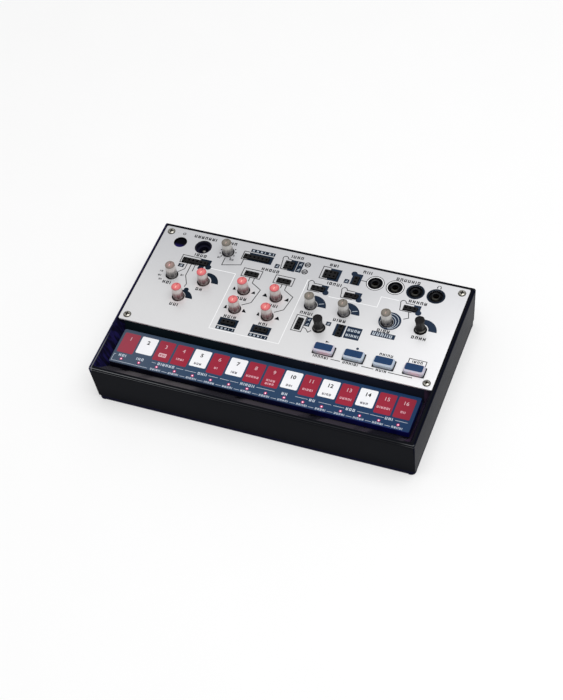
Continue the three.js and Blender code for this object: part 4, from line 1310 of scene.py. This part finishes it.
def power_paint():
    """Black, with a deep blue painted glint along its front edge."""
    paint = Paint("power_black", (6, 6, 10), roughness=0.3, specular=0.02)
    clouds = paint.clouds(0.9, (4, 4, 8), (9, 9, 16))
    # the deep blue front edge is a painted glint
    return paint.finish(paint.over(clouds, ((34, 28, 88), POWER_FRONT)))


def add_connector(name, node, profile, body, paint):
    """A turned sleeve in a square body, in the place of a node."""
    width, depth, low, high = body
    bm = bmesh.new()
    turn(bm, profile)
    outline = box_outline(*around(0.0, 0.0, width / 2, depth / 2))
    sleeve_radius = profile[1][0]
    plate(bm, outline, [ring_points(sleeve_radius, ROUND)], low, high, BODY_EDGE)
    piece = add_piece(name, bm, paint, "case", on_deck(node))
    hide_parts(node)


def add_jacks():
    black = jack_paint()
    dull_spring = metal("dull_spring", (54, 47, 38), (86, 76, 62), 0.8, 0.3, 0.5)
    for node in named("jack_"):
        add_connector(node + "_socket", node, JACK_PROFILE, JACK_BODY, black)
        spring = bmesh.new()
        outer, inner = (ring_points(radius, ROUND) for radius in SPRING_RADII)
        tube(spring, outer, inner, *SPRING_HEIGHTS)
        add_piece(node + "_spring", spring, dull_spring, "case", on_deck(node))


def add_inlet():
    black = plastic("inlet_black", (20, 20, 32), (28, 28, 46), (0.5, 0.008), roughness=0.35, specular=0.05)
    dull_pin = metal("dull_pin", (112, 110, 106), (146, 144, 140), 0.8, 0.3, 0.45)
    add_connector("inlet_cup", "power_inlet", INLET_PROFILE, INLET_BODY, black)
    pin = bmesh.new()
    turn(pin, PIN_PROFILE)
    add_piece("inlet_pin", pin, dull_pin, "case", on_deck("power_inlet"))


def add_power_button():
    bm = bmesh.new()
    turn(bm, POWER_PROFILE)
    place = on_deck("power_button")
    piece = add_piece("power_cap", bm, power_paint(), "power_button", place)
    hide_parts("power_button")


add_jacks()
add_inlet()
add_power_button()

# Patch sockets: blocks with square funnels over forked contacts
PIN_SPACING = 2.54
PIN_HOLE = 1.1
SOCKET_RISE = 0.9
SOCKET_EDGE = 0.14
SOCKET_CORNER = 0.15
SOCKET_HOLE_FLOOR = -3.1
CONTACT_TOP = -0.7
LEAF_THICKNESS = 0.22
LEAF_HALF_WIDTH = 0.35


def socket_pins(node):
    x, y = centre(node)
    across, deep = (max(1, round(2 * half / PIN_SPACING)) for half in half_size(node))
    return [
        (x + (i - (across - 1) / 2) * PIN_SPACING, y + (j - (deep - 1) / 2) * PIN_SPACING)
        for i in range(across)
        for j in range(deep)
    ]


def add_sockets():
    black = plastic("socket_black", (22, 22, 24), (30, 30, 31), (0.4, 0.008), roughness=0.32, specular=0.08)
    gilt = metal("gilt_contact", (150, 120, 70), (176, 146, 92), 0.6, 0.25, 0.4)
    floor = DECK + SOCKET_HOLE_FLOOR
    half = PIN_HOLE / 2
    for node in named("socket_"):
        outline = rounded_rectangle(*around(*centre(node), *half_size(node)), SOCKET_CORNER, 2)
        pins = socket_pins(node)
        holes = [box_outline(*around(x, y, half, half)) for x, y in pins]
        bm = bmesh.new()
        plate(bm, outline, holes, floor, DECK + SOCKET_RISE, SOCKET_EDGE)
        loft(bm, [(outline, bottom(node)), (outline, floor)])
        piece = add_piece(node.replace("socket", "patch"), bm, black, "case")
        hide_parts(node)
        fork = bmesh.new()
        for x, y in pins:
            for side in (-1, 1):
                leaf = sorted((x + side * half, x + side * (half - LEAF_THICKNESS)))
                block(fork, *leaf, y - LEAF_HALF_WIDTH, y + LEAF_HALF_WIDTH, floor, DECK + CONTACT_TOP)
        add_piece(node.replace("socket", "contacts"), fork, gilt, "case")


add_sockets()

# Print on the deck: a row names one or more nodes, and its places are from the middle of each
DECK_LINE = 0.44
FINE_LINE = 0.36
ICON_LINE = 0.5
WORD_SIZE = 2.1
BUTTON_WORD_SIZE = 1.7
SMALL_WORD_SIZE = 1.3
DECK_WORDS = [
    ("power_inlet", -8.2, 6.8, 7.0),
    ("knob_pitch", -0.9, 3.4, 7.0),
    ("socket_attack", 4.3, 15.3, 5.7),
    ("socket_middle", -0.9, 7.2, 7.0),
    ("socket_source", -2.5, 5.5, 5.5),
    ("knob_ratio", -3.4, 2.1, -6.2),
    ("knob_mod", -2.4, 2.1, -6.2),
    ("knob_fold", -2.9, 2.6, -6.2),
    ("knob_attack", -2.2, 4.0, -6.2),
    ("knob_shape", -1.9, 3.5, -6.2),
    ("knob_release", -4.2, 4.0, -6.2),
    ("knob_time", -2.9, 2.6, -6.2),
    ("socket_split", -2.6, 2.9, 7.3),
    ("socket_cv", 2.2, 7.8, 7.6),
    ("jack_sync_in", -1.2, 13.8, 6.6),
    ("socket_gate_left", 3.7, 13.2, 5.7),
    ("socket_space", -2.6, 8.4, 5.5),
    ("knob_cutoff_left", -4.0, 3.7, -6.2),
    ("knob_cutoff_right", -4.2, 3.5, -6.2),
    ("knob_amount", -3.6, 4.9, -6.6),
    ("knob_volume", -3.4, 5.1, -6.2),
]
BUTTON_WORDS = [
    ("button_memory", -4.6, 3.9, 6.1),
    ("button_function", -3.2, 2.8, 6.1),
    ("button_play", -4.8, 4.7, -5.0),
    ("button_record", -4.9, 4.6, -5.0),
    ("button_memory", -3.1, 3.4, -5.0),
]
SMALL_WORDS = [
    ("knob_pitch", -4.8, -2.9, -5.0),
    ("knob_pitch", 2.9, 5.4, -5.0),
    ("knob_ratio", -7.9, -5.6, 1.1),
    ("knob_ratio", -7.9, -5.6, -2.1),
    ("knob_ratio", -6.4, -4.4, -4.9),
    ("knob_ratio", 5.0, 7.4, 1.2),
]
DECK_BLOCKS = [
    ("socket_source", 2.45, 9.45, -1.8, 3.4),
    ("socket_source", 3.0, 6.4, -4.6, -1.8),
    ("socket_modulation", -5.1, 9.9, -2.6, 3.4),
    ("socket_middle", 0.0, 4.4, -4.1, 4.5),
    ("socket_release socket_time", -5.75, 5.75, -2.8, 3.0),
    ("socket_split", -0.9, 5.9, -4.2, 4.8),
    ("socket_cv", -2.8, 3.0, -3.3, 5.2),
    ("socket_gate_left socket_gate_right socket_space", 1.4, 5.7, -2.1, 3.4),
    ("socket_random", -3.2, 2.6, -4.1, 4.6),
]
DECK_DISCS = [
    ("socket_source", 9.0, -1.9, 1.8),
    ("socket_cv", -2.3, 4.7, 1.8),
    ("socket_gate_left socket_gate_right socket_space", 5.2, -1.8, 1.8),
    ("knob_fold", 2.6, 5.9, 1.5),
    ("button_record", 0.1, 6.1, 0.8),
]
WRITTEN_BLOCKS = [
    ("socket_modulation", -5.1, 9.9, 4.0, 6.4, [0.5], 1.5, 2.54),
    ("socket_release socket_time", -5.75, 5.75, -5.8, -3.4, [0.5], 1.4, 2.3),
    ("socket_random", 3.3, 12.3, -4.1, 4.6, [0.28, 0.7], 1.8, 0.0),
    ("knob_amount", -6.1, 7.9, -11.2, -7.8, [0.5], 2.2, 0.0),
]
WRITTEN_MARGINS = (0.9, 0.7)
BADGES = [
    ("socket_middle", 4.7, 8.1, 0.4, 4.5),
    ("socket_middle", 4.7, 8.1, -3.7, 0.4),
    ("socket_sequencer", 3.3, 6.3, 2.6, 5.9),
    ("socket_sequencer", 3.3, 6.3, -0.7, 2.6),
    ("socket_source", -9.0, -5.4, -5.8, -3.3),
    ("socket_middle", -8.0, -5.3, -4.0, -0.9),
    ("socket_cv", -6.4, -3.5, -3.3, -0.3),
    ("socket_random", -9.2, -6.3, 1.7, 4.5),
]
BADGE_REACH_SHARE = 0.22
BADGE_HEIGHT_SHARES = (0.3, 0.7)
BADGE_FOOT_SHARE = 0.2
DECK_LINES = [
    ("socket_source", [(2.4, 3.5), (-9.0, 3.5), (-9.0, -2.2), (2.4, -2.2)]),
    ("socket_modulation", [(-5.1, 3.6), (-8.7, 3.6), (-8.7, -2.5), (-5.1, -2.5)]),
    ("socket_split", [(-0.9, 5.1), (-5.6, 5.1), (-5.6, -3.9), (-0.9, -3.9)]),
    ("knob_pitch", [(-0.1, -4.4), (-0.1, -10.2), (10.9, -7.2), (10.9, -2.9)]),
    ("socket_source", [(-4.05, -2.4), (-4.05, -6.7), (-7.05, -9.7)]),
    ("socket_source", [(-1.55, -2.4), (-1.55, -11.2), (1.45, -17.2), (0.9, -19.5)]),
    ("socket_source", [(0.95, -2.4), (0.95, -7.2)]),
    ("socket_attack socket_shape", [(2.8, -2.6), (2.8, -6.2), (9.3, -9.9), (7.5, -20.2), (2.8, -23.4)]),
    ("socket_attack socket_shape", [(0.0, -2.6), (0.0, -5.4)]),
    ("socket_cv", [(3.1, 1.0), (6.2, 1.0)]),
    ("socket_space", [(-0.2, -2.6), (1.1, -6.7), (-1.6, -8.2)]),
    ("socket_sequencer", [(3.4, -1.9), (5.0, -2.4), (7.0, -4.6), (8.5, -2.9)]),
    ("button_function", [(-5.2, 4.4), (-5.2, 7.7), (4.8, 7.7), (4.8, 4.4)]),
    ("button_play", [(5.7, -5.0), (11.2, -5.0)]),
    ("button_record", [(6.1, -5.0), (13.1, -5.0)]),
    ("button_memory", [(3.9, -5.0), (17.4, -5.0)]),
]
DECK_FRAMES = [
    ("socket_attack socket_shape", -5.75, 5.75, -2.5, 3.6),
    ("socket_sequencer", -3.0, 3.0, -5.4, 6.1),
]
EARED_OUTLINES = [
    ("socket_gate_left socket_gate_right socket_space", 1.4, -5.6, -2.4, 3.4),
    ("socket_middle", 0.0, -4.2, -3.6, 4.6),
]
EAR_RADIUS = 1.6
EAR_SHIFT = 0.4
EAR_TURN = 215
WEDGES = [
    ("knob_mod", 4.6, 6.8, 9.0),
    ("knob_fold", 4.1, 4.9, 8.6),
    ("knob_cutoff_left knob_cutoff_right", 4.1, 7.5, 9.2),
    ("knob_volume", 4.4, 7.6, 9.4),
]
WEDGE_LINES = [("knob_cutoff_left knob_cutoff_right", [(4.4, 2.0), (7.2, 3.0)])]
HILLS = [
    ("knob_attack", -6.6, -4.6, -1.0, 1.1, 0.3),
    ("knob_attack", 4.8, 7.4, -1.0, 0.8, 0.6),
    ("knob_release", -6.6, -4.6, -1.0, 1.3, 0.5),
    ("knob_release", 4.7, 7.3, -1.0, 1.2, 0.2),
    ("knob_shape", -8.1, -5.0, -1.0, 1.2, 0.4),
    ("knob_shape", 5.2, 7.9, -1.0, 1.2, 0.7),
    ("knob_time", -6.3, -4.6, -1.0, 1.2, 0.4),
    ("knob_time", 4.6, 7.7, -1.0, 1.2, 0.5),
]
HILL_TOP_HALF = 0.3
PITCH_TICKS = (-144, -112, -80, -48, 48, 80, 112, 144)
PITCH_TICK_REACH = 4.7
PITCH_TICK_RADIUS = 0.42
AMOUNT_OUTER = (1.4, 1.2, 6.5)
AMOUNT_INNER = (0.0, 0.0, 3.95)
AMOUNT_ARCS = [("knob_amount", 0.35, 0.35, 4.7, -75, 150), ("knob_amount", 0.95, 0.95, 5.65, -75, 150)]
DIVIDERS = [
    [(-57.0, 30.0), (-40.5, 30.0), (-40.5, -12.0), (2.0, -12.0), (2.0, 37.0), (3.6, 37.0)],
    [(17.6, 28.4), (46.8, 28.4), (46.8, 36.4), (57.5, 36.4)],
]
FINE_RING = (5.15, DECK_LINE)
PALE_RING = (4.68, 0.5)
DARK_RING = (4.88, 1.04)
ICON_ARCS = [("jack_headphones", 0.0, 6.9, 1.0, 0, 180), ("power_button", 0.0, 6.7, 0.8, 125, 415)]
ICON_BOXES = [
    ("jack_headphones", -1.3, -0.7, 5.8, 6.9),
    ("jack_headphones", 0.7, 1.3, 5.8, 6.9),
    ("power_button", -0.12, 0.12, 6.7, 7.7),
]
PLAY_ICON = [(-1.1, 5.4), (1.1, 6.1), (-1.1, 6.8)]
MEMORY_DOT = (17.5, -5.0, 0.35)
FADER_X = 10.4
FADER_YS = (3.2, -2.3)
FADER_RING = (1.6, 0.56, 32)
FADER_BOX = (-1.4, 1.4, -0.75, -0.2)
FADER_LINE = [(-1.1, 0.25), (1.1, 0.75)]


def rows(table):
    """Each row of a table once for each node that it names."""
    for nodes, *values in table:
        for node in nodes.split():
            yield (node, *values)


def point_at(node, dx, dy):
    return points_at(node, [(dx, dy)])[0]


def print_blocks(ink, white):
    for node, *limits in rows(DECK_BLOCKS):
        ink.box_round(box_at(node, *limits), socket_hole(node))
    for node, *limits, levels, size, spacing in rows(WRITTEN_BLOCKS):
        x0, x1, y0, y1 = box_at(node, *limits)
        ink.box(x0, x1, y0, y1)
        start, end = x0 + WRITTEN_MARGINS[0], x1 - WRITTEN_MARGINS[1]
        for share in levels:
            white.marks(start, end, y0 + (y1 - y0) * share, size, spacing)
    for node, *limits in rows(BADGES):
        x0, x1, y0, y1 = box_at(node, *limits)
        ink.box(x0, x1, y0, y1)
        middle, reach = (x0 + x1) / 2, (x1 - x0) * BADGE_REACH_SHARE
        low, high = (y0 + (y1 - y0) * share for share in BADGE_HEIGHT_SHARES)
        white.line([(middle - reach, low), (middle + reach, high)], DECK_LINE)
        white.line([(middle + reach * BADGE_FOOT_SHARE, low), (middle + reach, low)], DECK_LINE)


def print_lines(line):
    for node, points in rows(DECK_LINES):
        line.line(points_at(node, points), DECK_LINE)
    for node, *limits in rows(DECK_FRAMES):
        line.loop(box_outline(*box_at(node, *limits)), DECK_LINE)
    for node, right, left, low, high in rows(EARED_OUTLINES):
        ear = ring_points(EAR_RADIUS, 12, left + EAR_SHIFT, high, 0, EAR_TURN)
        line.line(points_at(node, [(right, high), *ear, (left, low), (right, low)]), DECK_LINE)
    sizes = (WORD_SIZE, BUTTON_WORD_SIZE, SMALL_WORD_SIZE)
    for size, words in zip(sizes, (DECK_WORDS, BUTTON_WORDS, SMALL_WORDS)):
        for node, x0, x1, y in words:
            (x0, y), (x1, _) = points_at(node, [(x0, y), (x1, y)])
            line.marks(x0, x1, y, size)


def print_arcs(ink, table):
    for node, dx, dy, radius, start, end in rows(table):
        ink.arc(*point_at(node, dx, dy), radius, FINE_LINE, start, end)


def print_scales(ink, line, white):
    for node, inner, start, end in rows(WEDGES):
        ink.fan(*centre(node), inner, start, end, 90, 0)
    for node, points in rows(WEDGE_LINES):
        white.line(points_at(node, points), FINE_LINE)
    circles = [
        ring_points(radius, ROUND, *point_at("knob_amount", dx, dy))
        for dx, dy, radius in (AMOUNT_OUTER, AMOUNT_INNER)
    ]
    ink.between(*circles)
    print_arcs(white, AMOUNT_ARCS)
    for node, x0, x1, y0, y1, share in rows(HILLS):
        tip = x0 + (x1 - x0) * share
        hill = [(x0, y0), (x1, y0), (tip + HILL_TOP_HALF, y1), (tip - HILL_TOP_HALF, y1)]
        line.area(points_at(node, hill))
    for angle in PITCH_TICKS:
        turned = math.radians(90 - angle)
        tick = PITCH_TICK_REACH * math.cos(turned), PITCH_TICK_REACH * math.sin(turned)
        line.disc(*point_at("knob_pitch", *tick), PITCH_TICK_RADIUS, 10)


def print_icons(line, pale, discs, rings):
    for node in ("jack_cv_in", "jack_sync_in"):
        line.ring(*centre(node), *FINE_RING)
        pale.ring(*centre(node), *PALE_RING)
    for node in ("jack_sync_out", "jack_headphones"):
        rings.ring(*centre(node), *DARK_RING)
    for node, dx, dy, radius in rows(DECK_DISCS):
        discs.disc(*point_at(node, dx, dy), radius)
    print_arcs(line, ICON_ARCS)
    for node, *limits in rows(ICON_BOXES):
        line.box(*box_at(node, *limits))
    line.area(points_at("button_play", PLAY_ICON))
    dx, dy, radius = MEMORY_DOT
    line.disc(*point_at("button_memory", dx, dy), radius)
    for fader_y in FADER_YS:
        x, y = point_at("socket_middle", FADER_X, fader_y)
        x0, x1, y0, y1 = FADER_BOX
        line.ring(x, y, *FADER_RING)
        line.box(x + x0, x + x1, y + y0, y + y1)
        line.line([(x + dx, y + dy) for dx, dy in FADER_LINE], ICON_LINE)


def deck_print():
    ink, line = Print(DECK, KEY_LIFT), Print(DECK, KEY_LIFT)
    white, pale = Print(DECK, INK_LIFT), Print(DECK, PALE_LIFT)
    discs, rings = Print(DECK, DISC_LIFT), Print(DECK, KEY_LIFT)
    print_blocks(ink, white)
    print_lines(line)
    print_scales(ink, line, white)
    print_icons(line, pale, discs, rings)
    for points in DIVIDERS:
        pale.line(points, DECK_LINE)
    ink.piece("deck_blocks", print_blue, "case", "silver")
    discs.piece("deck_discs", print_blue, "case", "silver")
    rings.piece("jack_rings", ring_ink, "case", "silver")
    line.piece("deck_lines", line_ink, "case", "silver")
    white.piece("deck_block_marks", deck_white, "case", "silver")
    pale.piece("deck_dividers", pale_line, "case", "silver")


deck_print()

# Studio
FLOOR_SIDE = 8000.0
FLOOR_CLOUD = 40.0
FLOOR_WHITE_SHARE = 0.45
LAMP_POWER = 12.5
LAMP_SIDE = 1100.0
LAMP_PLACE = (280.0, -60.0, 1300.0)
LAMP_TARGET = (0.0, 0.0, 20.0)
AMBIENT = 0.5


def add_floor():
    paint = Paint("pale_floor", (247, 247, 247), roughness=0.9, specular=0.1)
    paint.finish(paint.clouds(FLOOR_CLOUD, (246, 246, 246), (249, 249, 249)))
    seen = paint.node("ShaderNodeLightPath", {}).outputs
    looked_at = paint.math("MAXIMUM", seen["Is Camera Ray"], seen["Is Glossy Ray"])
    looked_at = paint.math("MAXIMUM", looked_at, seen["Is Transmission Ray"])
    white = paint.node("ShaderNodeEmission", {"Color": (1, 1, 1, 1)}).outputs[0]
    inputs = {0: paint.share(looked_at, FLOOR_WHITE_SHARE), 1: paint.shader.outputs[0], 2: white}
    mixed = paint.node("ShaderNodeMixShader", inputs).outputs[0]
    paint.feed(paint.nodes["Material Output"].inputs["Surface"], mixed)
    half = FLOOR_SIDE / 2
    bm = bmesh.new()
    (corners,) = add_rings(bm, [(box_outline(-half, half, -half, half), 0.0)])
    bm.faces.new(corners)
    mesh = bpy.data.meshes.new("floor")
    bm.to_mesh(mesh)
    bm.free()
    mesh.materials.append(paint.material)
    add_object("floor", mesh)


def add_lamp():
    light = bpy.data.lights.new("softbox", "AREA")
    light.energy = LAMP_POWER
    light.size = LAMP_SIDE * MM
    lamp = add_object("softbox", light)
    lamp.location = Vector(LAMP_PLACE) * MM
    way = Vector(LAMP_TARGET) - Vector(LAMP_PLACE)
    lamp.rotation_euler = way.to_track_quat("-Z", "Y").to_euler()


def add_world():
    world = bpy.data.worlds.new("studio")
    bpy.context.scene.world = world
    world.use_nodes = True
    nodes, links = world.node_tree.nodes, world.node_tree.links
    ambient = nodes["Background"]
    ambient.inputs["Color"].default_value = (1, 1, 1, 1)
    ambient.inputs["Strength"].default_value = AMBIENT
    seen = nodes.new("ShaderNodeBackground")
    path = nodes.new("ShaderNodeLightPath")
    share = path.outputs["Is Camera Ray"]
    for ray in ("Is Glossy Ray", "Is Transmission Ray"):
        either = nodes.new("ShaderNodeMath")
        either.operation = "MAXIMUM"
        links.new(share, either.inputs[0])
        links.new(path.outputs[ray], either.inputs[1])
        share = either.outputs[0]
    mix = nodes.new("ShaderNodeMixShader")
    links.new(share, mix.inputs[0])
    links.new(ambient.outputs[0], mix.inputs[1])
    links.new(seen.outputs[0], mix.inputs[2])
    links.new(mix.outputs[0], nodes["World Output"].inputs["Surface"])


add_floor()
add_lamp()
add_world()
